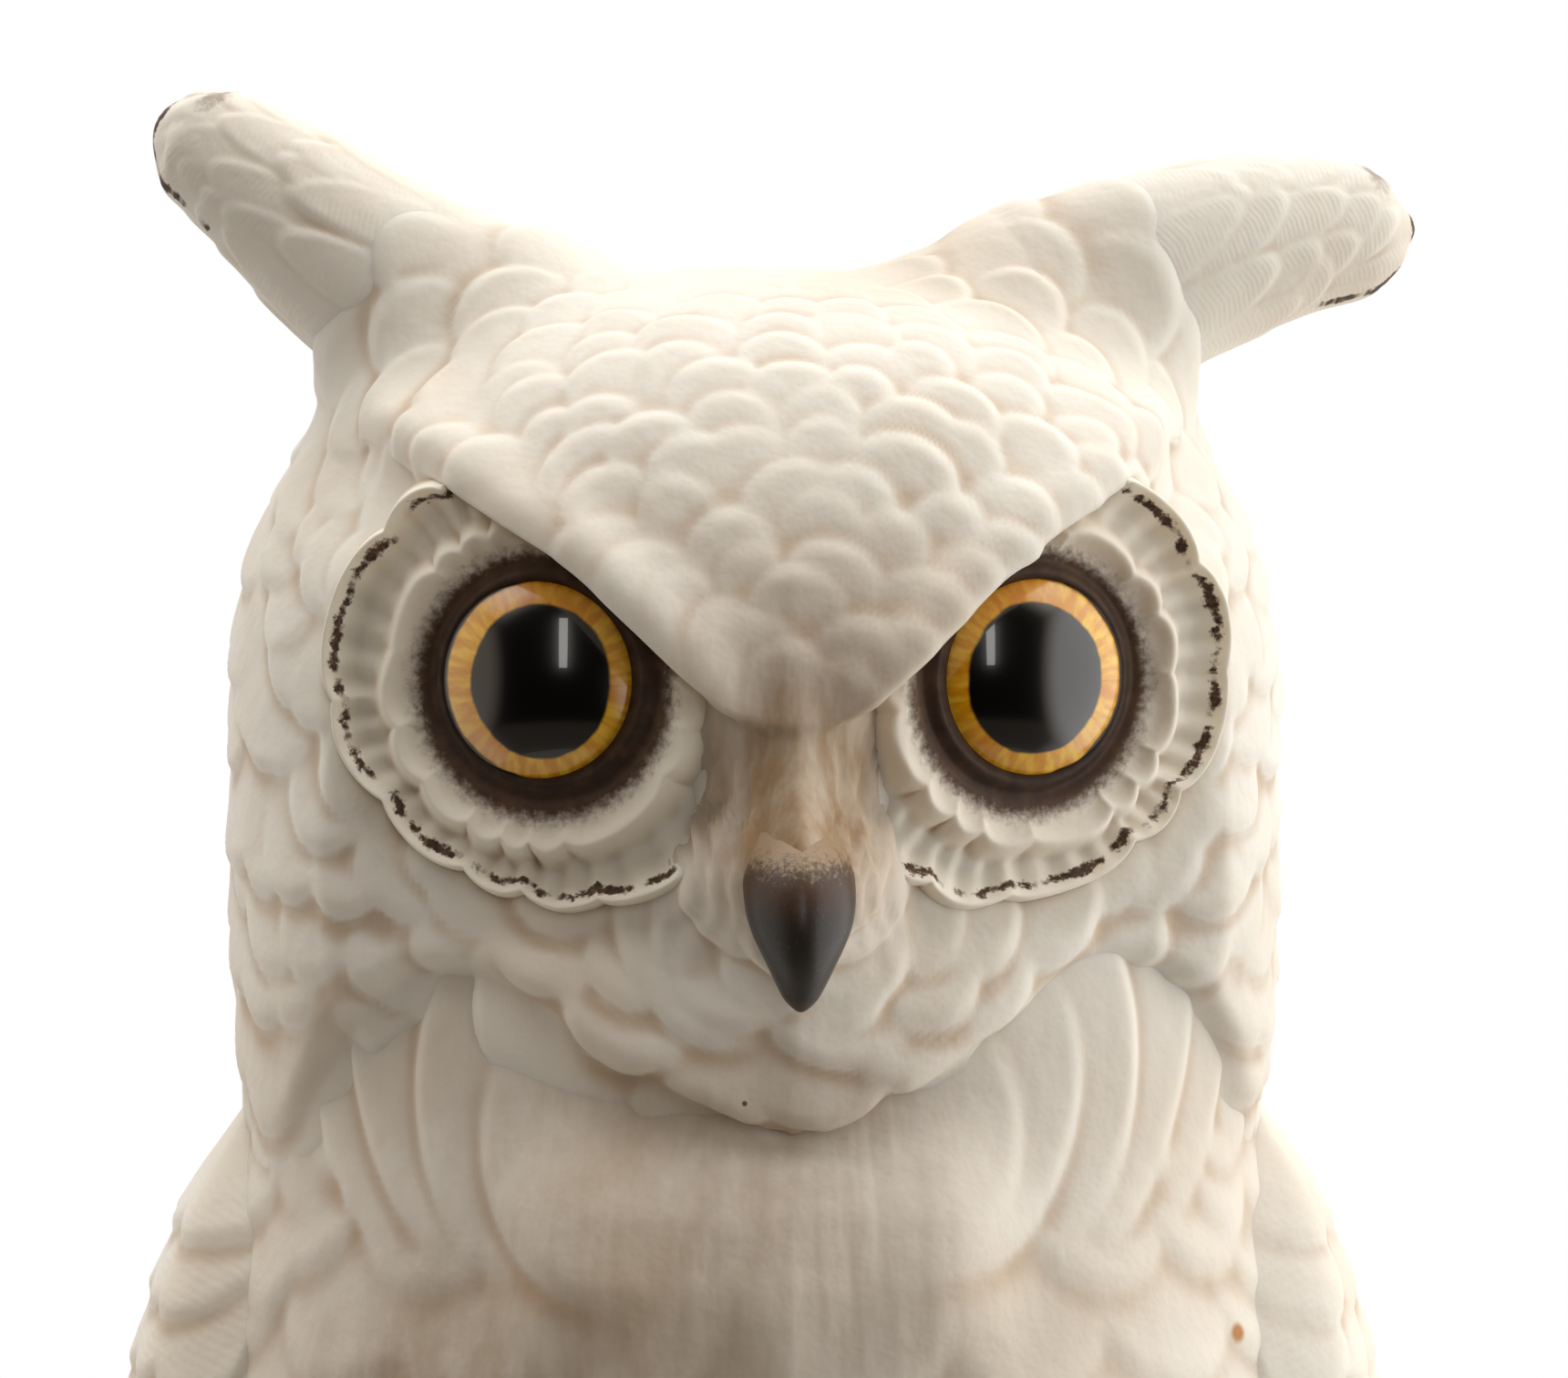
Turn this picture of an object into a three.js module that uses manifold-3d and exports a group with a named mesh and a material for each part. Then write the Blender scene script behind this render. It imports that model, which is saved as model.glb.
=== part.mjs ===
// An eared owl in slip-cast bisque porcelain, perched on a tree stump.
//
// The figurine is cast in pieces and put together with liquid slip before firing. Hollow castings (head, torso and
// stump) have an even wall. Ears, wings, tail, legs, feet, claws, beak, eyes and the two facial discs are pressed
// or cast on their own and set against them. Every seam between two pieces is a joint GAP wide.
//
// Millimetres, +Z up. The owl faces -Y, and its own right side is at -X. The origin is the middle of the underside.

import * as THREE from "three";
import { mergeVertices } from "three/addons/utils/BufferGeometryUtils.js";
import Module from "manifold-3d";

const wasm = await Module();
wasm.setup();

// ---- Driving dimensions -------------------------------------------------------------------------------------

const WALL = 3.6; // wall of a hollow casting
const GAP = 0.3; // slip joint between two pieces

const STUMP_HEIGHT = 36;
const VENT_RADIUS = 4; // firing vent in the stump's floor
const VENT_BACK = 15; // how far behind the middle the vent is
const PINHOLE_RADIUS = 1.5; // lets air out of the torso and head in the kiln

const NECK_Z = 128; // the seam between torso and head
const COLLAR_HEIGHT = 6; // the torso's collar inside the head
const HEAD_CENTRE = new THREE.Vector3(0, 2, 160);
const HEAD_TURN = 6.5; // degrees, the face turns to the owl's left

const EYE_SPREAD = 16.1; // half the distance between the eyes
const EYE_FORWARD = 26.6;
const EYE_UP = 4.8;
const EYE_TURN = 21; // degrees, each eye looks outwards
const EYE_RADIUS = 6.5;
const EYE_DOME = 2.6; // how far the eye bulges out of its disc
const DISC_RADIUS = 15.4;
const DISC_BACK = 1.7; // the disc's back lies this far behind its middle plane
const DISC_SCALLOPS = 15;

const TORSO_FOOT_Z = 44;
const TORSO_SQUARENESS = 2.1; // exponent of the cross-section, 2 for an ellipse
const HEAD_SQUARENESS = 2.3;
const HEAD_BOTTOM = -32; // from the head's own centre
const HEAD_TOP = 33;

// Cross-sections as [height, half width, half depth, middle in Y].
const TORSO = [
  [44, 15, 13, 3],
  [50, 28, 25, 3],
  [58, 35.5, 32, 2.5],
  [72, 41, 37.5, 2],
  [88, 43.5, 40, 1.5],
  [104, 42.5, 39, 1.5],
  [118, 38.8, 35.8, 2],
  [128, 35.4, 33.2, 2],
];
const WING_HULL = [
  [40, 29, 38, 9],
  [50, 36.5, 41, 7],
  [65, 43.5, 43, 5],
  [82, 47.4, 44.5, 3],
  [100, 47.2, 43.5, 2],
  [115, 43.9, 40.5, 2],
  [127, 39.6, 36.5, 2],
  [137, 33.5, 31, 2],
];
// The head's rows are measured from its own centre.
const HEAD = [
  [-32, 35.4, 33.2, 0],
  [-22, 36.8, 34, 0],
  [-10, 37.4, 34.2, 0],
  [0, 37.3, 33.6, 0],
  [9, 36.5, 32.2, 0.2],
  [17, 34.2, 29.6, 0.6],
  [23, 31, 26.2, 1],
  [28, 25.6, 21, 1.5],
  [31, 19, 15.4, 1.8],
  [32.7, 10, 8, 2],
  [33, 3, 2.4, 2],
];

// ---- Materials ----------------------------------------------------------------------------------------------

const bisque = new THREE.MeshStandardMaterial({ color: "#e9e2d6", roughness: 0.62, metalness: 0 });
const glazedEye = new THREE.MeshStandardMaterial({ color: "#c98212", roughness: 0.08, metalness: 0 });
const paintedHorn = new THREE.MeshStandardMaterial({ color: "#3a2f28", roughness: 0.4, metalness: 0 });

// ---- Solids from three.js geometry --------------------------------------------------------------------------

/** A closed geometry as a solid. A geometry whose faces point inwards is turned round. */
function solid(geometry) {
  const bare = geometry.clone();
  bare.deleteAttribute("normal");
  bare.deleteAttribute("uv");
  const merged = mergeVertices(bare, 1e-4);
  const vertProperties = merged.attributes.position.array;
  const triVerts = new Uint32Array(merged.index.array);
  const body = new wasm.Manifold(new wasm.Mesh({ numProp: 3, vertProperties, triVerts }));
  if (body.volume() > 0) return body;
  triVerts.reverse();
  return new wasm.Manifold(new wasm.Mesh({ numProp: 3, vertProperties, triVerts }));
}

/** A solid as a geometry whose own origin is at seat. */
function geometryOf(body, seat) {
  const { vertProperties, triVerts } = body.getMesh();
  const geometry = new THREE.BufferGeometry();
  geometry.setAttribute("position", new THREE.BufferAttribute(new Float32Array(vertProperties), 3));
  geometry.setIndex(new THREE.BufferAttribute(new Uint32Array(triVerts), 1));
  geometry.translate(-seat.x, -seat.y, -seat.z);
  geometry.computeVertexNormals();
  return geometry;
}

/** Values between rows of [position, ...values], smooth through each row. */
function between(rows, at) {
  const last = rows.length - 1;
  const clamped = Math.min(Math.max(at, rows[0][0]), rows[last][0]);
  let i = 0;
  while (i < last - 1 && clamped > rows[i + 1][0]) i += 1;
  const [low, high] = [rows[i], rows[i + 1]];
  const span = high[0] - low[0];
  const t = (clamped - low[0]) / span;
  const slope = (k, j) => {
    const [before, after] = [rows[Math.max(k - 1, 0)], rows[Math.min(k + 1, last)]];
    return ((after[j] - before[j]) / (after[0] - before[0])) * span;
  };
  return low.slice(1).map((value, index) => {
    const j = index + 1;
    const rise = high[j] - value;
    const [m0, m1] = [slope(i, j), slope(i + 1, j)];
    return value + t * (m0 + t * (3 * rise - 2 * m0 - m1 + t * (m0 + m1 - 2 * rise)));
  });
}

const signedPower = (value, power) => Math.sign(value) * Math.abs(value) ** power;

/** A point on the rounded-square cross-section of rows at a height, grown outwards by grow. */
function ringPoint(rows, squareness, z, angle, grow = 0, share = 1) {
  const [a, b, middle] = between(rows, z);
  const x = (a + grow) * share * signedPower(Math.cos(angle), 2 / squareness);
  const y = middle + (b + grow) * share * signedPower(Math.sin(angle), 2 / squareness);
  return new THREE.Vector3(x, y, z);
}

/** A closed solid of rings, one at each level. ring(level, angle, share) gives a point, at the middle for share 0. */
function stack(levels, sides, ring) {
  const rows = levels.length - 1;
  const geometry = new THREE.CylinderGeometry(1, 1, 1, sides, rows);
  const position = geometry.attributes.position;
  for (let i = 0; i < position.count; i += 1) {
    const level = levels[Math.round((position.getY(i) + 0.5) * rows)];
    const share = Math.min(1, Math.hypot(position.getX(i), position.getZ(i)));
    const point = ring(level, Math.atan2(position.getZ(i), position.getX(i)), share > 0.5 ? 1 : 0);
    position.setXYZ(i, point.x, point.y, point.z);
  }
  return solid(geometry);
}

/** A hull of cross-section rows between two heights, grown by grow. */
function hull(rows, squareness, low, high, count, sides, grow = 0) {
  const levels = Array.from({ length: count + 1 }, (_, i) => low + ((high - low) * i) / count);
  return stack(levels, sides, (z, angle, share) => ringPoint(rows, squareness, z, angle, grow, share));
}

/**
 * A closed solid swept along a curve, from a sphere whose latitudes become rings.
 * section(t) gives the half sizes across and through. up is the direction that "through" lies nearest to.
 */
function swept(curve, section, sides, rows, up, grow = 0) {
  const geometry = new THREE.SphereGeometry(1, sides, rows);
  const position = geometry.attributes.position;
  const uv = geometry.attributes.uv;
  for (let i = 0; i < position.count; i += 1) {
    const t = 1 - uv.getY(i);
    const angle = Math.atan2(position.getZ(i), position.getX(i));
    const ring = t > 1e-6 && t < 1 - 1e-6 ? 1 : 0;
    const tangent = curve.getTangent(t);
    const across = new THREE.Vector3().crossVectors(up, tangent).normalize();
    const through = new THREE.Vector3().crossVectors(tangent, across);
    const [half, thick] = section(t);
    const point = curve.getPoint(t);
    point.addScaledVector(across, ring * (half + grow) * Math.cos(angle));
    point.addScaledVector(through, ring * (thick + grow) * Math.sin(angle));
    if (!ring) point.addScaledVector(tangent, t < 0.5 ? -grow : grow);
    position.setXYZ(i, point.x, point.y, point.z);
  }
  return solid(geometry);
}

/** A turned solid on +Z from a profile of [radius, height] points, with outer radii drawn out in scallops. */
function turned(profile, sides, scallop = () => 1) {
  const geometry = new THREE.LatheGeometry(
    profile.map(([r, h]) => new THREE.Vector2(r, h)),
    sides,
  );
  geometry.rotateX(Math.PI / 2);
  const position = geometry.attributes.position;
  for (let i = 0; i < position.count; i += 1) {
    const [x, y, z] = [position.getX(i), position.getY(i), position.getZ(i)];
    const share = scallop(Math.atan2(y, x), Math.hypot(x, y));
    position.setXYZ(i, x * share, y * share, z);
  }
  return solid(geometry);
}

const curveThrough = (points) => new THREE.CatmullRomCurve3(points.map((p) => new THREE.Vector3(...p)));
const rowsOf = (rows) => (t) => between(rows, t);
const UP = new THREE.Vector3(0, 0, 1);
const BACK = new THREE.Vector3(0, 1, 0);

// ---- Stump --------------------------------------------------------------------------------------------------

const STUMP = [
  [0, 37.5, 36.5, 0],
  [3, 36.6, 35.6, 0],
  [12, 33.6, 33, 0],
  [26, 32.2, 31.6, 0],
  [33, 32, 31.4, 0],
  [36, 30.2, 29.6, 0],
];
const STUMP_LEVELS = [0, 3, 12, 22, 32, 36];

/** Bark ridges, as a share of the stump's radius. */
const bark = (angle) => 1 + 0.018 * Math.cos(9 * angle + 0.6) + 0.012 * Math.cos(17 * angle + 1.9);

function stumpOuter(grow = 0) {
  const log = stack(STUMP_LEVELS, 52, (z, angle, share) => {
    const height = z === STUMP_HEIGHT ? z + grow : z;
    return ringPoint(STUMP, 2, z, angle, grow, share * bark(angle)).setZ(height);
  });
  const stub = curveThrough([
    [24, -9, 15],
    [33, -12.5, 18],
    [42, -15.5, 22],
  ]);
  const stubRadius = rowsOf([
    [0, 8, 8],
    [0.5, 6.6, 6.6],
    [0.9, 6, 6],
    [1, 5.6, 5.6],
  ]);
  return log.add(swept(stub, stubRadius, 14, 6, UP, grow));
}

/** A round hole along Z between two heights, in the plane X = 0. */
function hole(radius, back, low, high) {
  const profile = [
    [0, low],
    [radius, low],
    [radius, high],
    [0, high],
  ];
  return turned(profile, 20).translate([0, back, 0]);
}

function stumpShell() {
  const hollow = stack([WALL, 12, STUMP_HEIGHT - WALL], 28, (z, angle, share) =>
    ringPoint(STUMP, 2, z, angle, -WALL - 1, share),
  );
  return stumpOuter().subtract(hollow).subtract(hole(VENT_RADIUS, VENT_BACK, -1, WALL + 1));
}

// ---- Torso --------------------------------------------------------------------------------------------------

const torsoOuter = (grow = 0) =>
  hull(TORSO, TORSO_SQUARENESS, TORSO_FOOT_Z - grow, NECK_Z - GAP + grow, 12, 40, grow);

function torsoShell() {
  const collarTop = NECK_Z + COLLAR_HEIGHT;
  const collar = hull(TORSO, TORSO_SQUARENESS, NECK_Z - 4, collarTop, 2, 32, -WALL - GAP - 0.6);
  const hollow = hull(TORSO, TORSO_SQUARENESS, TORSO_FOOT_Z + WALL + 1, NECK_Z - 5, 6, 28, -WALL);
  const throat = hull(TORSO, TORSO_SQUARENESS, NECK_Z - 12, collarTop + 1, 2, 28, -2 * WALL - GAP);
  const pinhole = hole(PINHOLE_RADIUS, 3, TORSO_FOOT_Z - 1, TORSO_FOOT_Z + WALL + 2);
  return torsoOuter().add(collar).subtract(hollow).subtract(throat).subtract(pinhole);
}

/**
 * A folded wing: a closed shell bent round the wing hull. side is -1 for the owl's right.
 * The long axis runs from the shoulder down and back to the tip, and the chord is an angle round the body.
 */
function wingOuter(side, grow = 0) {
  const chord = [
    [0, -4, 4],
    [0.12, -1, 25],
    [0.3, 4, 35],
    [0.5, 12, 38],
    [0.7, 24, 33],
    [0.88, 39, 20],
    [1, 50, 4],
  ];
  const thickness = 6.5;
  const [top, tip] = [134, 43];
  const geometry = new THREE.SphereGeometry(1, 20, 14);
  const position = geometry.attributes.position;
  const uv = geometry.attributes.uv;
  for (let i = 0; i < position.count; i += 1) {
    const t = 1 - uv.getY(i);
    const angle = Math.atan2(position.getZ(i), position.getX(i));
    const ring = t > 1e-6 && t < 1 - 1e-6 ? 1 : 0;
    const z = top + (tip - top) * t + (t < 0.5 ? grow : -grow) * (1 - ring);
    const [middle, half] = between(chord, t);
    const growAngle = THREE.MathUtils.radToDeg(grow / 40);
    const degrees = middle + ring * (half + growAngle) * signedPower(Math.cos(angle), 0.75);
    const through = ring * signedPower(Math.sin(angle), 0.7);
    const around = THREE.MathUtils.degToRad(degrees);
    const point = ringPoint(WING_HULL, 2, z, around, (thickness / 2) * (through - 1) + grow * through);
    position.setXYZ(i, side * point.x, point.y, point.z);
  }
  return solid(geometry);
}

const wing = (side, torsoGrown, headPlaced) => wingOuter(side).subtract(torsoGrown).subtract(headPlaced);

function tail(torsoGrown, wingsGrown) {
  const path = curveThrough([
    [0, 27, 82],
    [0, 38, 60],
    [0, 43, 38],
    [0, 46.5, 13],
  ]);
  const section = rowsOf([
    [0, 9, 2],
    [0.3, 17, 4.2],
    [0.7, 19.5, 3.2],
    [0.92, 17.5, 2.2],
    [1, 13, 1.2],
  ]);
  return swept(path, section, 20, 10, BACK).subtract(torsoGrown).subtract(wingsGrown).subtract(stumpOuter(GAP));
}

// ---- Legs, feet and claws -----------------------------------------------------------------------------------

const LEG_SPREAD = 15.5;
const ANKLE = [LEG_SPREAD, -15.5, 40];
const TOES = [
  { name: "outer", turn: 26, reach: 19.5 },
  { name: "middle", turn: 2, reach: 20.5 },
  { name: "inner", turn: -22, reach: 19 },
];

function legOuter(side, grow = 0) {
  const path = curveThrough([
    [side * 16.5, -8, 62],
    [side * 16, -12, 50],
    [side * ANKLE[0], -14.5, 38],
  ]);
  const section = rowsOf([
    [0, 9, 9],
    [0.35, 14, 13],
    [0.75, 12.5, 11],
    [1, 9, 8],
  ]);
  return swept(path, section, 16, 8, BACK, grow);
}

/** The line of a toe, from the ankle over the stump's edge. */
function toeLine(side, toe) {
  const turn = THREE.MathUtils.degToRad(toe.turn * side);
  const at = (reach, z) => [side * ANKLE[0] + Math.sin(turn) * reach, ANKLE[1] - Math.cos(turn) * reach, z];
  return [at(0, ANKLE[2]), at(toe.reach * 0.45, 41.5), at(toe.reach * 0.85, 39.5), at(toe.reach, 35.5)];
}

function foot(side, grow = 0) {
  const section = rowsOf([
    [0, 4.6, 4],
    [0.5, 4, 3.6],
    [0.8, 4.1, 3.7],
    [1, 2.6, 2.2],
  ]);
  const toes = TOES.map((toe) => swept(curveThrough(toeLine(side, toe)), section, 10, 8, UP, grow));
  return toes.reduce((all, toe) => all.add(toe));
}

function claw(side, toe, footGrown, stumpGrown) {
  const line = toeLine(side, toe);
  const [knuckle, end] = [new THREE.Vector3(...line[2]), new THREE.Vector3(...line[3])];
  const ahead = end.clone().sub(knuckle).setZ(0).normalize();
  const path = new THREE.QuadraticBezierCurve3(
    knuckle.clone().addScaledVector(ahead, 1).setZ(39),
    knuckle.clone().addScaledVector(ahead, 6.6).setZ(39),
    knuckle.clone().addScaledVector(ahead, 6.4).setZ(28),
  );
  const section = rowsOf([
    [0, 2.2, 2.4],
    [0.5, 1.9, 2.1],
    [0.85, 1, 1.2],
    [1, 0.3, 0.3],
  ]);
  return swept(path, section, 10, 7, UP).subtract(footGrown).subtract(stumpGrown);
}

// ---- Head, in its own frame with the origin at its centre ---------------------------------------------------

/** The brow's lower edge from the bridge of the nose outwards, as [x, z]. */
const BROW_EDGE = [
  [3.2, -9],
  [3.4, -1],
  [6, 3],
  [10.5, 7.5],
  [14.5, 11.6],
  [19, 14.6],
  [24, 18.5],
  [32, 25],
];

const HEAD_LEVELS = [HEAD_BOTTOM, -24, -14, -4, 5, 12, 18, 22.5, 26.5, 29.5, 31.7, 32.7, HEAD_TOP];

const headOuter = (grow = 0) =>
  stack(
    HEAD_LEVELS,
    48,
    (z, angle, share) => {
      const end = Number(z === HEAD_TOP) - Number(z === HEAD_BOTTOM);
      return ringPoint(HEAD, HEAD_SQUARENESS, z, angle, grow, share).setZ(z + end * grow);
    },
  );

/** The brow and the bridge of the nose as a prism through the face: what the eye hollows leave standing. */
function browPrism(grow = 0) {
  const outline = new THREE.Shape();
  const right = BROW_EDGE.map(([x, z]) => [x + grow, z - grow]);
  outline.moveTo(...right[0]);
  right.slice(1).forEach(([x, z]) => outline.lineTo(x, z));
  outline.lineTo(40, 40);
  outline.lineTo(-40, 40);
  right
    .slice()
    .reverse()
    .forEach(([x, z]) => outline.lineTo(-x, z));
  const geometry = new THREE.ExtrudeGeometry(outline, { depth: 40, bevelEnabled: false, curveSegments: 1 });
  geometry.rotateX(Math.PI / 2);
  return solid(geometry);
}

/** Turns and moves a solid from its own +Z axis to the eye's axis. */
function toEye(side, body) {
  const outward = new THREE.Vector3(side * Math.sin(THREE.MathUtils.degToRad(EYE_TURN)), 0, 0);
  outward.y = -Math.cos(THREE.MathUtils.degToRad(EYE_TURN));
  const turn = new THREE.Quaternion().setFromUnitVectors(UP, outward);
  const place = new THREE.Matrix4().compose(eyeSeat(side), turn, new THREE.Vector3(1, 1, 1));
  return body.transform(place.elements);
}

const eyeSeat = (side) => new THREE.Vector3(side * EYE_SPREAD, -EYE_FORWARD, EYE_UP);

/** The round hollow that a facial disc lies in, open to the front. */
function eyeHollow(side, grow = 0) {
  const radius = DISC_RADIUS + 0.9 + grow;
  const floor = -DISC_BACK - GAP - grow;
  const profile = [
    [0, floor],
    [radius, floor],
    [radius, 14],
    [0, 14],
  ];
  return toEye(side, turned(profile, 30));
}

/** The socket that an eye sits in. It reaches under the brow, which overhangs the eye. */
function eyeSocket(side) {
  const radius = EYE_RADIUS + GAP;
  const profile = [
    [0, -DISC_BACK - GAP],
    [radius, -DISC_BACK - GAP],
    [radius, 1],
    [radius - 1.5, EYE_DOME],
    [0, EYE_DOME + GAP + 0.4],
  ];
  return toEye(side, turned(profile, 24));
}

function headShell() {
  const brow = browPrism();
  const cavity = hull(HEAD, HEAD_SQUARENESS, HEAD_BOTTOM - 1, HEAD_TOP - WALL * 1.8, 6, 28, -WALL)
    .subtract(eyeHollow(-1, WALL))
    .subtract(eyeHollow(1, WALL));
  const hollows = eyeHollow(-1).add(eyeHollow(1)).subtract(brow);
  return headOuter().subtract(cavity).subtract(hollows).subtract(eyeSocket(-1)).subtract(eyeSocket(1));
}

/** A facial disc: a shallow dish round the eye, with an outer and an inner ring of scalloped feathers. */
function facialDisc(side, browGrown, beakGrown) {
  const rim = EYE_RADIUS + GAP;
  const profile = [
    [rim, -DISC_BACK],
    [DISC_RADIUS - 1.4, -DISC_BACK],
    [DISC_RADIUS - 0.2, 0.4],
    [DISC_RADIUS, 1.2],
    [DISC_RADIUS - 1.2, 0.9],
    [11.6, 0.2],
    [11, 1],
    [9, 0.3],
    [7.6, 0.9],
    [rim, 0.4],
    [rim, -DISC_BACK],
  ];
  const scallop = (angle, radius) =>
    radius > 10.5 ? 1 + 0.022 * Math.abs(Math.cos((DISC_SCALLOPS * angle) / 2)) - 0.014 : 1;
  return toEye(side, turned(profile, 3 * DISC_SCALLOPS, scallop)).subtract(browGrown).subtract(beakGrown);
}

/** An eye: a shallow glazed dome on a short round plug. */
function eye(side) {
  const edge = 0.2;
  const profile = [
    [0, -DISC_BACK],
    [EYE_RADIUS, -DISC_BACK],
    [EYE_RADIUS, edge],
  ];
  for (let i = 1; i <= 5; i += 1) {
    const angle = (Math.PI / 2) * (i / 5);
    profile.push([EYE_RADIUS * Math.cos(angle), edge + (EYE_DOME - edge) * Math.sin(angle)]);
  }
  profile[profile.length - 1][0] = 0;
  return toEye(side, turned(profile, 24));
}

function beakOuter(grow = 0) {
  const path = curveThrough([
    [0, -29, -1],
    [0, -34, -6],
    [0, -37.6, -11],
    [0, -37.2, -17.2],
  ]);
  const section = rowsOf([
    [0, 2.6, 2],
    [0.3, 4.1, 3.4],
    [0.6, 3.5, 3.6],
    [0.85, 2, 2.6],
    [1, 0.5, 0.6],
  ]);
  return swept(path, section, 16, 10, BACK, grow);
}

/** The ears: each is a tapering tuft. The owl's right one stands higher, and its left one lies lower and is blunter. */
const EARS = {
  right: {
    line: [
      [-19, -4, 27],
      [-27, -3.5, 32],
      [-35, -2, 38.4],
      [-41.8, 0.5, 43],
    ],
    section: [
      [0, 6, 10],
      [0.3, 6.2, 9.2],
      [0.65, 4.6, 6.6],
      [0.9, 2.8, 4.4],
      [1, 1.6, 2.6],
    ],
  },
  left: {
    line: [
      [19, -3, 27.5],
      [28, -2, 31.5],
      [37, 0.5, 34],
      [46.6, 4, 35.3],
    ],
    section: [
      [0, 6, 9.4],
      [0.35, 6, 8.4],
      [0.7, 4.4, 6.6],
      [0.9, 2.8, 4.6],
      [1, 1.2, 1.8],
    ],
  },
};

const ear = (shape, headGrown) =>
  swept(curveThrough(shape.line), rowsOf(shape.section), 18, 12, UP).subtract(headGrown);

// ---- Assembly -----------------------------------------------------------------------------------------------

const owl = new THREE.Group();
const head = new THREE.Group();
head.position.copy(HEAD_CENTRE);
head.rotation.z = THREE.MathUtils.degToRad(HEAD_TURN);
owl.add(head);

/** The largest of the pieces that a cut leaves: the slivers beyond a neighbour are trimmed off. */
const largest = (body) => body.decompose().sort((a, b) => b.volume() - a.volume())[0];

/** Adds a solid to a group as a named mesh whose own origin is at seat. */
function add(group, name, body, material, seat = new THREE.Vector3()) {
  const mesh = new THREE.Mesh(geometryOf(largest(body), seat), material);
  mesh.name = name;
  mesh.position.copy(seat);
  group.add(mesh);
}

const sides = [
  ["right", -1],
  ["left", 1],
];

add(owl, "stump_shell", stumpShell(), bisque);
add(owl, "torso_shell", torsoShell(), bisque);

const torsoGrown = torsoOuter(GAP);
const stumpGrown = stumpOuter(GAP);
const wingsGrown = wingOuter(-1, GAP).add(wingOuter(1, GAP));
const headGrown = headOuter(GAP);
const headPlaced = headGrown.rotate([0, 0, HEAD_TURN]).translate(HEAD_CENTRE.toArray());
add(owl, "tail", tail(torsoGrown, wingsGrown), bisque, new THREE.Vector3(0, 38, 60));

for (const [name, side] of sides) {
  add(owl, `wing_${name}`, wing(side, torsoGrown, headPlaced), bisque, new THREE.Vector3(side * 44, 6, 92));
  const legSeat = new THREE.Vector3(side * LEG_SPREAD, -12, 50);
  const leg = legOuter(side).subtract(torsoGrown).subtract(stumpGrown);
  add(owl, `leg_${name}`, leg, bisque, legSeat);
  const toes = foot(side).subtract(legOuter(side, GAP)).subtract(stumpGrown);
  const footSeat = new THREE.Vector3(side * ANKLE[0], ANKLE[1], ANKLE[2]);
  add(owl, `foot_${name}`, toes, bisque, footSeat);
  const footGrown = foot(side, GAP);
  for (const toe of TOES) {
    const seat = new THREE.Vector3(...toeLine(side, toe)[3]);
    add(owl, `claw_${name}_${toe.name}`, claw(side, toe, footGrown, stumpGrown), paintedHorn, seat);
  }
}

add(head, "head_shell", headShell(), bisque);
const beakGrown = beakOuter(GAP);
add(head, "beak", beakOuter().subtract(headGrown), paintedHorn, new THREE.Vector3(0, -34, -8));
add(head, "ear_right", ear(EARS.right, headGrown), bisque, new THREE.Vector3(-27, -3, 32));
add(head, "ear_left", ear(EARS.left, headGrown), bisque, new THREE.Vector3(28, -2, 31.5));
for (const [name, side] of sides) {
  const disc = facialDisc(side, browPrism(GAP).intersect(headGrown), beakGrown);
  add(head, `facial_disc_${name}`, disc, bisque, eyeSeat(side));
  add(head, `eye_${name}`, eye(side), glazedEye, eyeSeat(side));
}

export default owl;
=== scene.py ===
"""Looks of an eared owl in bisque porcelain, perched on a tree stump.

The owl is slip-cast. Its plumage is soft relief in one white body, its eyes are painted and glazed, and its beak,
claws and disc rims are painted with ceramic brown. Lengths are millimetres in the part's frame (+Z up, the breast
faces -Y), and every mesh is scaled to metres as it is made. Each sub-assembly is a class that builds its pieces and
dresses them.
"""

from __future__ import annotations

import logging
import math
from dataclasses import dataclass, field, fields
from enum import Enum
from typing import Callable, Iterable, Sequence

import bmesh
import bpy
import numpy as np
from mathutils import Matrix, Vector

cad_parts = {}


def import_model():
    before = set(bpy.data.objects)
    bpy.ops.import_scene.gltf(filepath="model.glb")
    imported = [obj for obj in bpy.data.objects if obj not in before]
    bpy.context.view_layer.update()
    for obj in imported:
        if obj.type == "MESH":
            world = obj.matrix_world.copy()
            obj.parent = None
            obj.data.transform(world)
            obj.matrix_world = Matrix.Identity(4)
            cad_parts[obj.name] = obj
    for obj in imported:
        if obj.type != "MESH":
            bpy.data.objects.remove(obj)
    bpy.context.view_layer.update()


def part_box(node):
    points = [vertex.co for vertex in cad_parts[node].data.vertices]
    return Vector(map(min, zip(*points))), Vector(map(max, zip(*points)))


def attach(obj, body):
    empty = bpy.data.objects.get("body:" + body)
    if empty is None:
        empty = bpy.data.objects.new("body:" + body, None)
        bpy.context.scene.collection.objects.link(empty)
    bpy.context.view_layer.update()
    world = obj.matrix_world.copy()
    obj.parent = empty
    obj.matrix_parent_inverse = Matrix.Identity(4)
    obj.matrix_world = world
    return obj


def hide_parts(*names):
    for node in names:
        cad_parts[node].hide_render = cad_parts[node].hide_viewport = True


LOG = logging.getLogger("owl")
MM = 0.001
SEED = 20437

HALVINGS = 26
CAVITY_PASSES = 10
BISQUE_SLOT = "bisque"
EYE_SLOT = "glazed_eye"
HORN_SLOT = "painted_horn"
UP = np.array([0.0, 0.0, 1.0])
EYE_SEAT = (16.1, -26.6, 4.8)

Rows = Sequence[Sequence[float]]
Array = np.ndarray
Tree = bpy.types.NodeTree
Socket = bpy.types.NodeSocket


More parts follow.
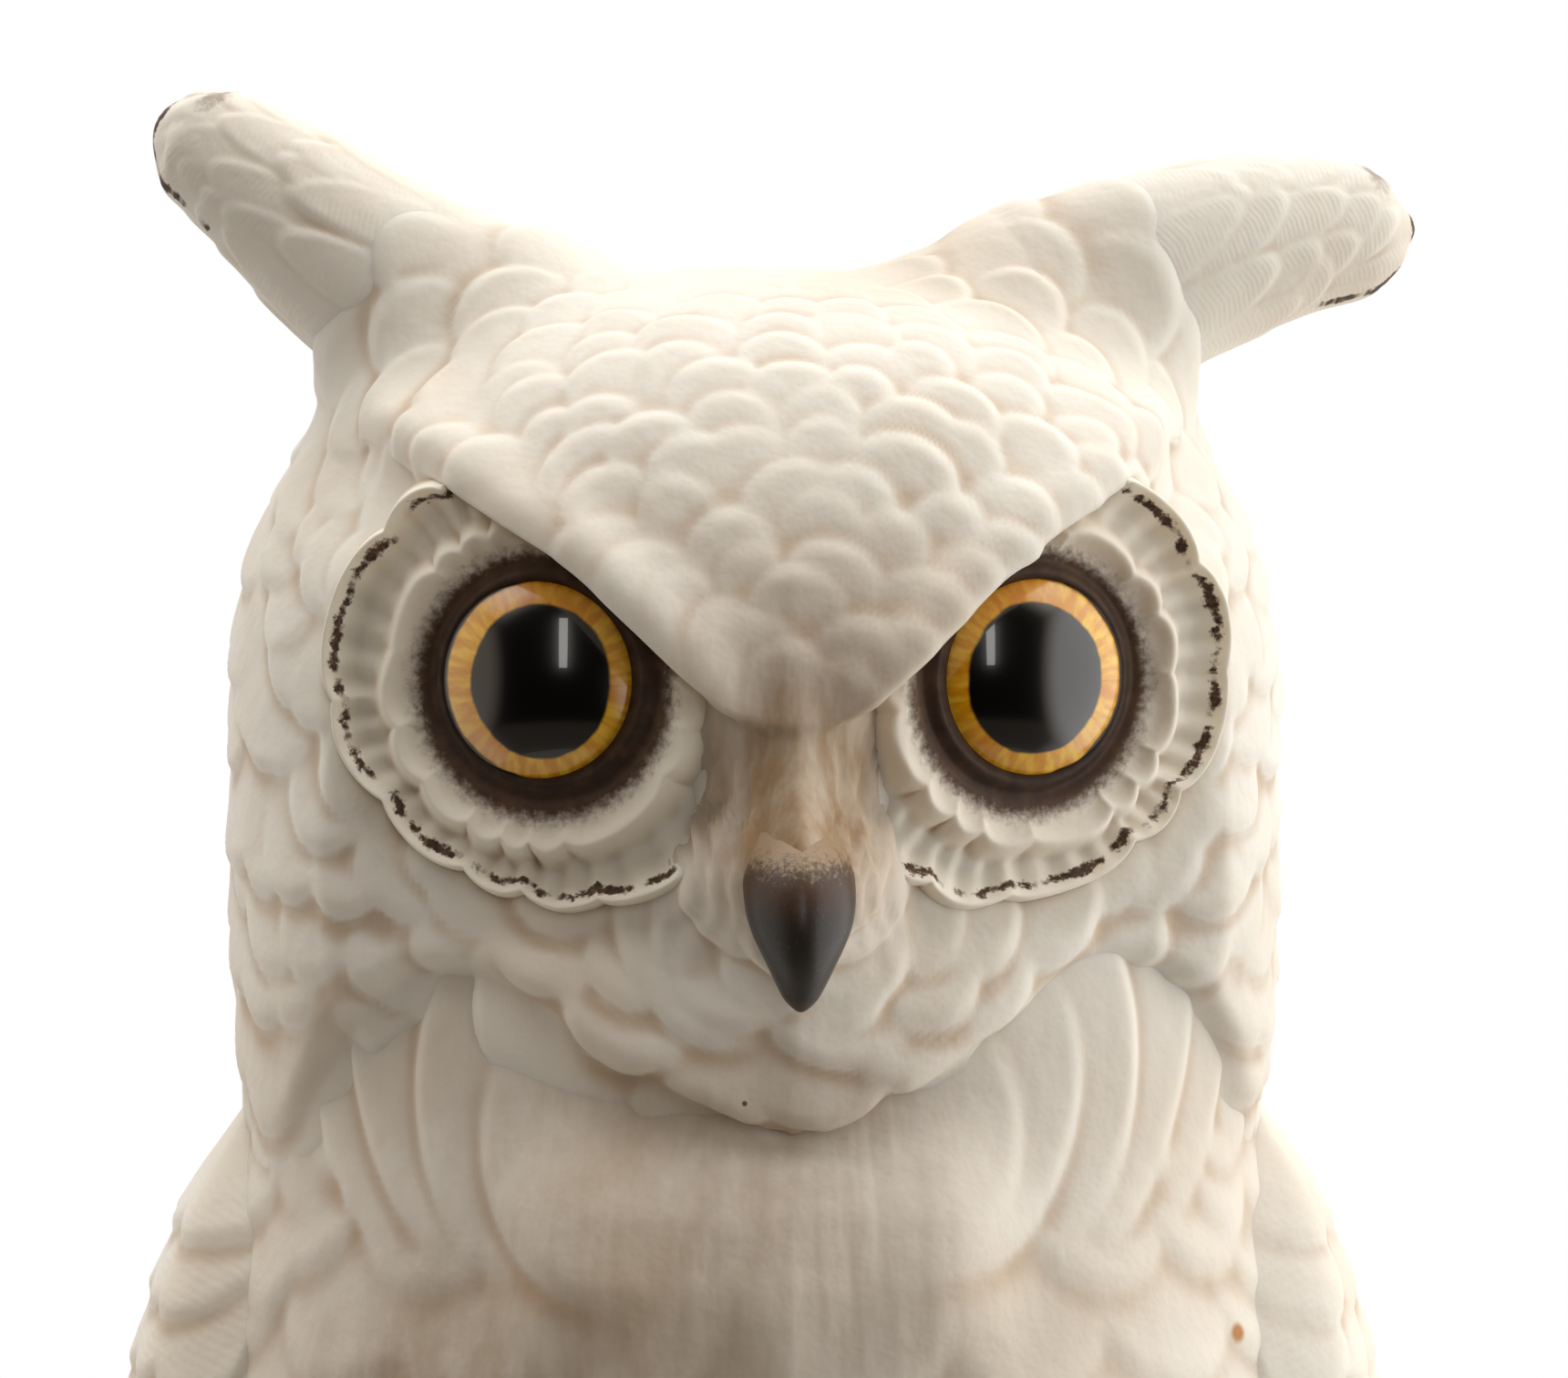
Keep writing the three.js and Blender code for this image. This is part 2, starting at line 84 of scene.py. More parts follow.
class Side(Enum):
    """The owl's own side. The value is the sign of X there."""

    RIGHT = -1
    LEFT = 1

    @property
    def word(self) -> str:
        """The side's name as the nodes spell it."""
        return self.name.lower()


# ---- Curves and smooth steps ----------------------------------------------------------------------------------------


def between(rows: Rows, at: Array) -> tuple[Array, ...]:
    """Values between rows, by a cubic whose slope at a row comes from its neighbours.

    Args:
        rows: Rows of (position, value, value, ...), with rising positions.
        at: Positions to read, of any shape. They are held between the first and the last row.

    Returns:
        One array for each value column.
    """
    table = np.asarray(rows, float)
    place, values = table[:, 0], table[:, 1:]
    slopes = np.gradient(values, place, axis=0)
    at = np.clip(at, place[0], place[-1])
    i = np.clip(np.searchsorted(place, at, side="right") - 1, 0, len(place) - 2)
    span = place[i + 1] - place[i]
    t = (at - place[i]) / span
    result = []
    for j in range(values.shape[1]):
        low, high = values[i, j], values[i + 1, j]
        m0, m1 = slopes[i, j] * span, slopes[i + 1, j] * span
        rise = high - low
        result.append(low + t * (m0 + t * (3 * rise - 2 * m0 - m1 + t * (m0 + m1 - 2 * rise))))
    return tuple(result)


def smooth_step(low: float, high: float, value: Array) -> Array:
    """0 below low, 1 above high, and 3t^2 - 2t^3 between."""
    t = np.clip((value - low) / (high - low), 0.0, 1.0)
    return t * t * (3 - 2 * t)


def smooth_min(a: Array, b: Array, blend: float) -> Array:
    """The lower of two distances, rounded over by blend: min(a, b) - blend * h^2 / 4, with h = 1 - |a - b| / blend."""
    h = np.clip(1 - np.abs(a - b) / blend, 0.0, None)
    return np.minimum(a, b) - blend * h * h / 4


def bell(value: Array, width: float) -> Array:
    """A bell of height 1: exp(-(value / width)^2)."""
    return np.exp(-((value / width) ** 2))


def unit(vectors: Array) -> Array:
    """Vectors scaled to length 1."""
    return vectors / np.maximum(np.linalg.norm(vectors, axis=-1, keepdims=True), 1e-12)


def signed_power(value: Array, power: float) -> Array:
    """|value|^power with the sign of value."""
    return np.sign(value) * np.abs(value) ** power


def ring(rows: Rows, squareness: float, z: Array, angle: Array, grow: Array | float = 0.0) -> Array:
    """Points on a rounded-square cross-section.

    x = (a + grow) cos^(2/n) and y = middle + (b + grow) sin^(2/n), where n is the squareness and an angle of 0 is +X.

    Args:
        rows: Rows of (z, a, b, middle).
        squareness: The exponent n, 2 for an ellipse.
        z: Heights.
        angle: Angles round +Z, in radians.
        grow: How far outside the section.

    Returns:
        Points, with the shape of z and angle together and 3 columns.
    """
    a, b, middle = between(rows, z)
    x = (a + grow) * signed_power(np.cos(angle), 2 / squareness)
    y = middle + (b + grow) * signed_power(np.sin(angle), 2 / squareness)
    return np.stack(np.broadcast_arrays(x, y, z), axis=-1)


def cast(form: Callable[[Array], Array], start: Array, way: Array, reach: float) -> Array:
    """How far each ray goes before it leaves a solid, by halving.

    Args:
        form: Signed distance of points, negative inside.
        start: Start of the rays.
        way: Unit directions.
        reach: The longest ray.

    Returns:
        A length for each ray.
    """
    low = np.zeros(way.shape[:-1])
    high = np.full(way.shape[:-1], reach)
    for _ in range(HALVINGS):
        middle = (low + high) / 2
        outside = form(start + way * middle[..., None]) > 0
        high = np.where(outside, middle, high)
        low = np.where(outside, low, middle)
    return (low + high) / 2


def dense_angles(count: int, middle: float, share: float, half: float) -> Array:
    """Angles round a full turn, closer together on both sides of one direction.

    The density falls from the middle outwards as 1 + extra * bell, and the angles are its even quantiles.

    Args:
        count: How many angles.
        middle: Direction where they are closest, in radians.
        share: How much denser the middle is than the rest.
        half: Half width of the dense part, in radians.

    Returns:
        Rising angles, starting half a turn before the middle.
    """
    fine = np.linspace(-math.pi, math.pi, 4001)
    density = 1 + (share - 1) * (1 - smooth_step(half * 0.75, half * 1.25, np.abs(fine)))
    total = np.concatenate([[0.0], np.cumsum((density[1:] + density[:-1]) / 2)])
    even = np.arange(count) / count * total[-1]
    return middle + np.interp(even, total, fine)


# ---- Surfaces -------------------------------------------------------------------------------------------------------


@dataclass
class Surface:
    """A grid of points, in millimetres, whose columns close on themselves and whose ends close in a pole.

    Attributes:
        points: Array of (rows, columns, 3).
        channels: Named values at each point, for the materials.
    """

    points: Array
    channels: dict[str, Array] = field(default_factory=dict)

    def normals(self) -> Array:
        """Unit normals, from the differences to the next points along the rows and the columns."""
        along = np.gradient(self.points, axis=0)
        around = np.roll(self.points, -1, axis=1) - np.roll(self.points, 1, axis=1)
        found = unit(np.cross(around, along))
        middle = self.points.mean(axis=1, keepdims=True)
        outward = np.sum(found * (self.points - middle))
        return found if outward > 0 else -found

    def raised(self, height: Array) -> None:
        """Moves each point along its normal by a height."""
        self.points = self.points + self.normals() * height[..., None]

    def soften(self, values: Array, passes: int = 1) -> Array:
        """Values blurred over the grid with weights 1, 2, 1 along both directions."""
        for _ in range(passes):
            values = (np.roll(values, 1, axis=1) + 2 * values + np.roll(values, -1, axis=1)) / 4
            padded = np.pad(values, ((1, 1), (0, 0)), mode="edge")
            values = (padded[:-2] + 2 * padded[1:-1] + padded[2:]) / 4
        return values

    def detail(self, height: Array, barb: Array | float = 0.0, vane: Array | float = 0.0) -> None:
        """Adds the channels that every bisque surface has.

        Args:
            height: Height of the relief. The channel cavity is how far it stands above its own surroundings.
            barb: Distance along a feather's barbs.
            vane: 1 where there are barbs.
        """
        shape = self.points.shape[:2]
        height = np.broadcast_to(height, shape)
        self.channels["cavity"] = height - self.soften(height, CAVITY_PASSES)
        self.channels["barb"] = np.broadcast_to(barb, shape)
        self.channels["vane"] = np.broadcast_to(vane, shape)

    def mesh(self, name: str) -> bpy.types.Mesh:
        """The grid as a closed mesh of quads, with triangle fans at its poles, in metres and facing outwards."""
        rows, columns = self.points.shape[:2]
        flat = self.points.reshape(-1, 3)
        poles = [self.points[0].mean(axis=0), self.points[-1].mean(axis=0)]
        vertices = np.concatenate([flat, np.array(poles)]) * MM
        index = np.arange(rows * columns).reshape(rows, columns)
        ahead = np.roll(index, -1, axis=1)
        quads = np.stack([index[:-1], ahead[:-1], ahead[1:], index[1:]], axis=-1).reshape(-1, 4)
        first = np.full(columns, rows * columns)
        fan = np.concatenate([np.stack([first, ahead[0], index[0]], axis=-1),
                              np.stack([first + 1, index[-1], ahead[-1]], axis=-1)])
        a, b, c = (vertices[quads[:, k]] for k in range(3))
        centre = vertices[quads].mean(axis=1)
        volume = np.sum(np.cross(b - a, c - a) * (centre - vertices.mean(axis=0)))
        if volume < 0:
            quads, fan = quads[:, ::-1], fan[:, ::-1]
        return fill_mesh(name, vertices, quads, fan, self._spread(rows * columns))

    def _spread(self, count: int) -> dict[str, Array]:
        """The channels as flat arrays, with the poles' values after the grid's."""
        spread = {}
        for name, values in self.channels.items():
            ends = [values[0].mean(), values[-1].mean()]
            spread[name] = np.concatenate([np.broadcast_to(values, self.points.shape[:2]).reshape(count), ends])
        return spread


def fill_mesh(name: str, vertices: Array, quads: Array, fan: Array, channels: dict[str, Array]) -> bpy.types.Mesh:
    """A smooth-shaded mesh from arrays.

    Args:
        name: The mesh's name.
        vertices: Points, in metres.
        quads: Corners of the four-sided faces.
        fan: Corners of the triangles.
        channels: Named values at each point.

    Returns:
        The mesh.
    """
    mesh = bpy.data.meshes.new(name)
    corners = np.concatenate([quads.ravel(), fan.ravel()]).astype(np.int32)
    sizes = np.concatenate([np.full(len(quads), 4), np.full(len(fan), 3)]).astype(np.int32)
    starts = np.concatenate([[0], np.cumsum(sizes)[:-1]]).astype(np.int32)
    mesh.vertices.add(len(vertices))
    mesh.vertices.foreach_set("co", vertices.astype(np.float32).ravel())
    mesh.loops.add(len(corners))
    mesh.loops.foreach_set("vertex_index", corners)
    mesh.polygons.add(len(sizes))
    mesh.polygons.foreach_set("loop_start", starts)
    mesh.polygons.foreach_set("use_smooth", np.ones(len(sizes), bool))
    for channel, values in channels.items():
        layer = mesh.attributes.new(channel, "FLOAT", "POINT")
        layer.data.foreach_set("value", values.astype(np.float32))
    mesh.update(calc_edges=True)
    mesh.validate()
    return mesh


@dataclass
class Sweep:
    """A rounded section carried along a curve, with a round end at both ends.

    Attributes:
        line: Rows of (t, x, y, z), with t from 0 to 1.
        section: Rows of (t, half width across, half width through).
        across: Roughly the direction of the section's first half width.
        squareness: Exponent of the section, 2 for an ellipse.
        ends: Shares of t over which the two ends close.
    """

    line: Rows
    section: Rows
    across: tuple[float, float, float] = (1.0, 0.0, 0.0)
    squareness: float = 2.0
    ends: tuple[float, float] = (0.06, 0.06)

    def frame(self, t: Array) -> tuple[Array, Array, Array]:
        """The line's point at t, and the directions across and through there."""
        point = np.stack(between(self.line, t), axis=-1)
        ahead = np.stack(between(self.line, np.clip(t + 0.02, 0, 1)), axis=-1)
        behind = np.stack(between(self.line, np.clip(t - 0.02, 0, 1)), axis=-1)
        tangent = unit(ahead - behind)
        hint = np.array(self.across)
        across = unit(hint - tangent * np.sum(tangent * hint, axis=-1, keepdims=True))
        return point, across, np.cross(tangent, across)

    def place(self, t: Array, angle: Array) -> Array:
        """Points of the surface: middle + a cos^(2/n) across + b sin^(2/n) through."""
        t, angle = np.broadcast_arrays(t, angle)
        middle, across, through = self.frame(t)
        half, deep = between(self.section, t)
        start = np.clip(1 - t / self.ends[0], 0, 1)
        tip = np.clip(1 - (1 - t) / self.ends[1], 0, 1)
        close = np.sqrt(np.clip(1 - np.maximum(start, tip) ** 2, 0.0004, 1))
        u = half * close * signed_power(np.cos(angle), 2 / self.squareness)
        v = deep * close * signed_power(np.sin(angle), 2 / self.squareness)
        return middle + across * u[..., None] + through * v[..., None]

    def surface(self, rows: int, columns: int) -> tuple[Surface, Array, Array]:
        """The surface as a grid whose rows crowd towards the ends, with the t and the angle of every point."""
        even = np.linspace(0, 1, rows)
        t = 0.5 * even + 0.25 * (1 - np.cos(math.pi * even))
        angle = np.arange(columns) * 2 * math.pi / columns
        t, angle = np.meshgrid(t, angle, indexing="ij")
        return Surface(self.place(t, angle)), t, angle

    def length(self) -> float:
        """Length of the line."""
        points = np.stack(between(self.line, np.linspace(0, 1, 60)), axis=-1)
        return float(np.linalg.norm(np.diff(points, axis=0), axis=1).sum())


# ---- Plumage --------------------------------------------------------------------------------------------------------


@dataclass
class Feathers:
    """Feathers laid on a surface, as arrays with one row for each.

    Attributes:
        root: Middle of the feather's base.
        along: Direction from base to tip.
        outward: Direction away from the surface.
        length: From base to tip.
        width: Side to side.
        lift: How high the tip stands.
    """

    root: Array
    along: Array
    outward: Array
    length: Array
    width: Array
    lift: Array

    @classmethod
    def joined(cls, groups: Iterable["Feathers"]) -> "Feathers":
        """Several sets of feathers as one."""
        found = list(groups)
        return cls(*(np.concatenate([getattr(group, kind.name) for group in found]) for kind in fields(cls)))

    @classmethod
    def laid(cls, place: Callable[[Array, Array], Array], u: Array, v: Array, **sizes: Array | float) -> "Feathers":
        """Feathers on a surface place(u, v) whose growth follows rising u.

        Args:
            place: Points of the surface for arrays u and v.
            u: Growth coordinate of each base.
            v: Sideways coordinate of each base.
            sizes: length, width and lift, and optionally turn, an angle that swings the growth towards rising v.

        Returns:
            The feathers.
        """
        step = 1e-3
        root = place(u, v)
        along = unit(place(u + step, v) - root)
        sideways = unit(place(u, v + step) - root)
        outward = unit(np.cross(along, sideways))
        centre = root.mean(axis=0)
        if np.sum(outward * (root - centre)) < 0:
            outward = -outward
        turn = np.broadcast_to(sizes.get("turn", 0.0), u.shape)[:, None]
        along = unit(along * np.cos(turn) + sideways * np.sin(turn))
        full = [np.broadcast_to(np.asarray(sizes[n], float), u.shape).copy() for n in ("length", "width", "lift")]
        return cls(root, along, outward, *full)

    @classmethod
    def spanning(cls, place: Callable[[Array, Array], Array], root: tuple[Array, Array], tip: tuple[Array, Array],
                 width: Array | float, lift: Array | float) -> "Feathers":
        """Feathers from one place on a surface to another, each place given as arrays u and v."""
        start, end = place(*root), place(*tip)
        middle = tuple((np.asarray(a) + np.asarray(b)) / 2 for a, b in zip(root, tip))
        outward = cls.laid(place, *middle, length=1.0, width=1.0, lift=1.0).outward
        along = unit(end - start)
        outward = unit(outward - along * np.sum(outward * along, axis=-1, keepdims=True))
        length = np.linalg.norm(end - start, axis=-1)
        full = [np.broadcast_to(np.asarray(v, float), length.shape).copy() for v in (width, lift)]
        return cls(start, along, outward, length, *full)

    def kept(self, keep: Array) -> "Feathers":
        """Only the feathers where keep is true."""
        return Feathers(*(getattr(self, kind.name)[keep] for kind in fields(self)))


@dataclass(frozen=True)
class Relief:
    """How feathers stand out of the clay.

    A feather's height rises from base to tip as a^rise, falls off sideways by camber, and ends over soft millimetres
    at its outline, an ellipse beyond the shoulder. Tilt raises one side of it over its neighbour. Where feathers
    overlap, the higher one shows.
    """

    soft: float = 0.95
    rise: float = 0.8
    camber: float = 0.4
    shoulder: float = 0.35
    bead: float = 0.3
    depth: float = 1.4
    tilt: float = 0.0

    def stamp(self, surface: Surface, feathers: Feathers, passes: int = 1) -> None:
        """Raises a surface by its feathers, and adds its channels.

        Args:
            surface: The surface, which is changed.
            feathers: What to lay on it.
            passes: How many times the relief is blurred.
        """
        points = surface.points.reshape(-1, 3).astype(np.float32)
        normals = surface.normals().reshape(-1, 3).astype(np.float32)
        height = np.zeros(len(points), np.float32)
        barb = np.zeros(len(points), np.float32)
        owner = np.full(len(points), -1)
        sideways = np.cross(feathers.outward, feathers.along)
        for k in range(len(feathers.root)):
            length, half = feathers.length[k], feathers.width[k] / 2
            middle = feathers.root[k] + feathers.along[k] * length / 2
            gap = points - middle.astype(np.float32)
            near = np.flatnonzero(np.einsum("ij,ij->i", gap, gap) < (length / 2 + half) ** 2)
            if not len(near):
                continue
            near = near[normals[near] @ feathers.outward[k].astype(np.float32) > 0.15]
            offset = points[near] - feathers.root[k].astype(np.float32)
            level = np.abs(offset @ feathers.outward[k].astype(np.float32)) < self.depth + length * 0.25
            near, offset = near[level], offset[level]
            a = (offset @ feathers.along[k].astype(np.float32)) / length
            b = (offset @ sideways[k].astype(np.float32)) / half
            beyond = np.clip(a - self.shoulder, 0, None) / (1 - self.shoulder)
            q = np.hypot(beyond, b)
            inside = np.clip((1 - q) * half / self.soft, 0, 1)
            inside = inside * inside * (3 - 2 * inside)
            ridge = self.bead * np.exp(-((((1 - q) * half / self.soft - 0.85) / 0.55) ** 2)) * np.clip(a, 0, 1)
            arch = np.clip(a, 0, 1) ** self.rise * (1 - self.camber * b * b + self.tilt * b)
            up = feathers.lift[k] * (arch + ridge) * inside
            wins = (up > height[near]) & (a > 0)
            chosen = near[wins]
            height[chosen] = up[wins]
            barb[chosen] = a[wins] * length + np.abs(b[wins]) * half * 0.2
            owner[chosen] = k
        grid = surface.points.shape[:2]
        relief = surface.soften(height.reshape(grid), passes)
        surface.detail(relief, barb.reshape(grid), self._vane(surface, owner.reshape(grid)))
        surface.raised(relief)

    def _vane(self, surface: Surface, owner: Array) -> Array:
        """1 inside each feather and 0 along every line where one feather meets another."""
        inner = owner >= 0
        for axis in (0, 1):
            for step in (1, -1):
                inner &= owner == np.roll(owner, step, axis=axis)
        edge = surface.soften((~inner).astype(float), 1)
        return 1 - smooth_step(0.02, 0.5, edge)


def staggered(u_values: Array, v_low: float, v_high: float, spacing: float, rng: np.random.Generator,
              jitter: float = 0.12) -> tuple[Array, Array]:
    """Places in rows, each row half a step along from the last.

    Args:
        u_values: One growth coordinate for each row.
        v_low: Where the rows start.
        v_high: Where the rows end.
        spacing: Step along a row.
        rng: Source of the small shifts.
        jitter: Size of the shifts, as a share of the spacing.

    Returns:
        u and v of every place.
    """
    us, vs = [], []
    for k, u in enumerate(u_values):
        v = np.arange(v_low + (k % 2) * spacing / 2, v_high, spacing)
        vs.append(v + rng.normal(0, jitter * spacing, len(v)))
        us.append(np.full(len(v), u))
    return np.concatenate(us), np.concatenate(vs)


# ---- Finishes -------------------------------------------------------------------------------------------------------


def linear(colour: str) -> tuple[float, float, float, float]:
    """An sRGB hex colour as linear red, green, blue and an alpha of 1."""
    parts = [int(colour[i:i + 2], 16) / 255 for i in (1, 3, 5)]
    red, green, blue = (c / 12.92 if c <= 0.04045 else ((c + 0.055) / 1.055) ** 2.4 for c in parts)
    return red, green, blue, 1.0


def add_node(tree: Tree, kind: str, settings: dict | None = None, links: dict | None = None) -> bpy.types.Node:
    """Adds a node with its settings and links.

    Args:
        tree: The node tree.
        kind: The node's type name.
        settings: Values for properties and, by name or index, for input sockets.
        links: Output sockets to link, by the name or index of the input.

    Returns:
        The node.
    """
    node = tree.nodes.new(kind)
    for key, value in (settings or {}).items():
        if isinstance(key, str) and hasattr(node, key):
            setattr(node, key, value)
        else:
            node.inputs[key].default_value = value
    for key, socket in (links or {}).items():
        tree.links.new(socket, node.inputs[key])
    return node


def per_metre(millimetres: float) -> float:
    """The noise scale whose features measure this many millimetres on Object coordinates."""
    return 1 / (millimetres * MM)


def stepped(tree: Tree, value: Socket, start: float, end: float) -> Socket:
    """0 at start and 1 at end, smooth between, from a value. start may be the higher one."""
    rising = start < end
    node = add_node(tree, "ShaderNodeMapRange", {"interpolation_type": "SMOOTHSTEP", 1: min(start, end),
                                                 2: max(start, end), 3: 0.0 if rising else 1.0,
                                                 4: 1.0 if rising else 0.0}, {0: value})
    return node.outputs[0]


def joined(tree: Tree, operation: str, a: Socket, b: Socket | float) -> Socket:
    """The result of a maths operation on a socket and another socket or a number."""
    settings = {"operation": operation}
    links = {0: a}
    if isinstance(b, (int, float)):
        settings[1] = float(b)
    else:
        links[1] = b
    return add_node(tree, "ShaderNodeMath", settings, links).outputs[0]


def times(tree: Tree, a: Socket, b: Socket | float) -> Socket:
    """a times b."""
    return joined(tree, "MULTIPLY", a, b)


def plus(tree: Tree, a: Socket, b: Socket | float) -> Socket:
    """a plus b."""
    return joined(tree, "ADD", a, b)


def minus(tree: Tree, a: Socket, b: Socket | float) -> Socket:
    """a less b."""
    return joined(tree, "SUBTRACT", a, b)


def tinted(tree: Tree, under: Socket | str, over: Socket | str, mask: Socket) -> Socket:
    """One colour laid over another through a mask. A colour is a socket or a hex value."""
    settings: dict = {"data_type": "RGBA"}
    links: dict = {0: mask}
    for index, colour in ((6, under), (7, over)):
        if isinstance(colour, str):
            settings[index] = linear(colour)
        else:
            links[index] = colour
    return add_node(tree, "ShaderNodeMix", settings, links).outputs[2]


def channel(tree: Tree, name: str) -> Socket:
    """A surface's own channel, as a number."""
    return add_node(tree, "ShaderNodeAttribute", {"attribute_name": name}).outputs["Fac"]


def noise(tree: Tree, vector: Socket, scale: float, detail: float = 2.0, rough: float = 0.5) -> Socket:
    """A soft noise from 0 to 1."""
    node = add_node(tree, "ShaderNodeTexNoise", {"Scale": scale, "Detail": detail, "Roughness": rough},
                    {"Vector": vector})
    return node.outputs[0]


def blank_material(name: str) -> tuple[bpy.types.Material, Tree, Socket]:
    """A new material, its empty node tree, and the Object coordinates in it."""
    made = bpy.data.materials.new(name)
    made.use_nodes = True
    tree = made.node_tree
    tree.nodes.clear()
    return made, tree, add_node(tree, "ShaderNodeTexCoord").outputs["Object"]


def shade(tree: Tree, settings: dict, links: dict) -> None:
    """Adds the shader with its settings and links, and the material's output."""
    shader = add_node(tree, "ShaderNodeBsdfPrincipled", settings, links)
    add_node(tree, "ShaderNodeOutputMaterial", links={"Surface": shader.outputs[0]})


class Paint(Enum):
    """What is brushed over the bisque of a piece, or painted shade laid in its grooves."""

    NONE = "none"
    RIM = "rim"
    EAR = "ear"
    # Painted shade in the grooves between feathers.
    WASH = "wash"


@dataclass(frozen=True)
class Bisque:
    """Bisque porcelain: slip-cast white clay, fired once and left unglazed.

    It is matt with a fine grain, lets a little light in at thin edges, and has a few kiln specks. Its valleys get
    painted shade. Brown wash and painted shade are left where a surface's channel asks for them, and ceramic brown is
    brushed on, or painted shade laid in grooves, where paint says so.
    """

    name: str = "bisque porcelain"
    body: str = "#f1ebe0"
    cloud: str = "#e9dfcf"
    # Colour and depth of the painted shade laid in the valleys between feathers.
    valley: str = "#bf9d74"
    valley_shade_mm: float = 0.19
    # Brown of the wash. The same tint also lays painted shade in hollows and under the chin.
    stain: str = "#9b7c57"
    spot: str = "#c48a4c"
    speck: str = "#6d5138"
    brown: str = "#2d1b12"
    thin_brown: str = "#644830"
    grain_mm: float = 0.3
    barb_mm: float = 0.42
    barb_depth: float = 0.0
    roughness: float = 0.58
    paint: Paint = Paint.NONE

    def material(self) -> bpy.types.Material:
        """The finish as a node material."""
        made, tree, place = blank_material(self.name)
        colour = self._clay(tree, place)
        colour = self._brushwork(tree, place, colour)
        grain = noise(tree, place, per_metre(self.grain_mm), 3.0, 0.6)
        rough = add_node(tree, "ShaderNodeMapRange", {3: self.roughness - 0.06, 4: self.roughness + 0.08},
                         {0: grain}).outputs[0]
        bump = self._surface(tree, place, grain)
        shade(tree,
              {"IOR": 1.5, "Subsurface Weight": 0.25, "Subsurface Scale": 0.0018,
               "Subsurface Radius": (1.0, 0.72, 0.45), "Specular IOR Level": 0.35},
              {"Base Color": colour, "Roughness": rough, "Normal": bump})
        return made

    def _clay(self, tree: Tree, place: Socket) -> Socket:
        """The clay's colour: clouds 22 mm across, painted shade in the valleys between feathers, streaks of brown wash
        and painted shade, and kiln specks.
        """
        clouds = stepped(tree, noise(tree, place, per_metre(22), 3.0), 0.42, 0.68)
        colour = tinted(tree, self.body, self.cloud, clouds)
        # Painted shade: the clay darkens towards the valley colour where the relief sinks below its surroundings.
        deep = stepped(tree, channel(tree, "cavity"), 0.0, -self.valley_shade_mm)
        colour = tinted(tree, colour, self.valley, times(tree, deep, 0.62))
        # Brown wash and painted shade, broken into streaks: wash on the bridge and bib, painted shade in the face's
        # hollows, under the chin and at the lower left of the breast.
        drawn = add_node(tree, "ShaderNodeMapping", {"Scale": (1.0, 1.0, 0.28)}, {"Vector": place}).outputs[0]
        streak = stepped(tree, noise(tree, drawn, per_metre(3.0), 4.0, 0.6), 0.2, 0.8)
        blotch = plus(tree, times(tree, streak, 0.6), 0.5)
        colour = tinted(tree, colour, self.stain, times(tree, channel(tree, "stain"), blotch))
        for size, radius, chosen, tint in ((19.0, 0.05, 0.74, self.spot), (7.0, 0.035, 0.9, self.speck)):
            cells = add_node(tree, "ShaderNodeTexVoronoi", {"Scale": per_metre(size)}, {"Vector": place})
            dot = stepped(tree, cells.outputs["Distance"], radius, radius * 0.45)
            pick = add_node(tree, "ShaderNodeSeparateColor", links={0: cells.outputs["Color"]}).outputs[0]
            few = stepped(tree, pick, chosen, chosen + 0.01)
            colour = tinted(tree, colour, tint, times(tree, dot, few))
        return colour

    def _brushwork(self, tree: Tree, place: Socket, colour: Socket) -> Socket:
        """Ceramic brown over the clay, and painted shade in grooves. The brown's edges are ragged by the brush's
        hairs, 0.2 to 0.5 mm apart.
        """
        ragged = noise(tree, place, per_metre(0.55), 4.0, 0.7)
        shift = times(tree, minus(tree, ragged, 0.5), 2.6)
        if self.paint is Paint.RIM:
            ring = channel(tree, "ring")
            mask = stepped(tree, plus(tree, ring, times(tree, shift, 0.7)), 0.6, -0.9)
            cloud = noise(tree, place, per_metre(1.4), 3.0)
            thin = plus(tree, times(tree, stepped(tree, ring, -2.6, 0.2), 0.7),
                        times(tree, stepped(tree, cloud, 0.35, 0.75), 0.35))
            colour = tinted(tree, colour, tinted(tree, self.brown, self.thin_brown, thin), mask)
        if self.paint in (Paint.RIM, Paint.EAR):
            strokes = add_node(tree, "ShaderNodeCombineXYZ", {}, {0: channel(tree, "arc"), 1: channel(tree, "dab")})
            wide = add_node(tree, "ShaderNodeMapping", {"Scale": (0.3, 0.0, 1.0)}, {"Vector": strokes.outputs[0]})
            load = noise(tree, wide.outputs[0], 1.0, 3.0, 0.6)
            gaps = stepped(tree, load, 0.41, 0.5)
            thick = times(tree, minus(tree, load, 0.5), -1.2)
            reach = plus(tree, plus(tree, channel(tree, "dab"), thick), times(tree, shift, 0.42))
            line = times(tree, stepped(tree, reach, 0.28, 0.06), gaps)
            tone = stepped(tree, ragged, 0.3, 0.75)
            colour = tinted(tree, colour, tinted(tree, "#3a261a", "#72543a", tone), line)
        if self.paint is Paint.EAR:
            blot = plus(tree, channel(tree, "smudge"), shift)
            mask = times(tree, stepped(tree, blot, 1.1, -0.6), 0.7)
            colour = tinted(tree, colour, "#7c6656", mask)
        if self.paint is Paint.WASH:
            # Painted shade: tan brown laid in the grooves between feathers.
            groove_shade = stepped(tree, channel(tree, "cavity"), 0.1, -0.3)
            colour = tinted(tree, colour, "#a98a66", times(tree, groove_shade, 0.35))
        return colour

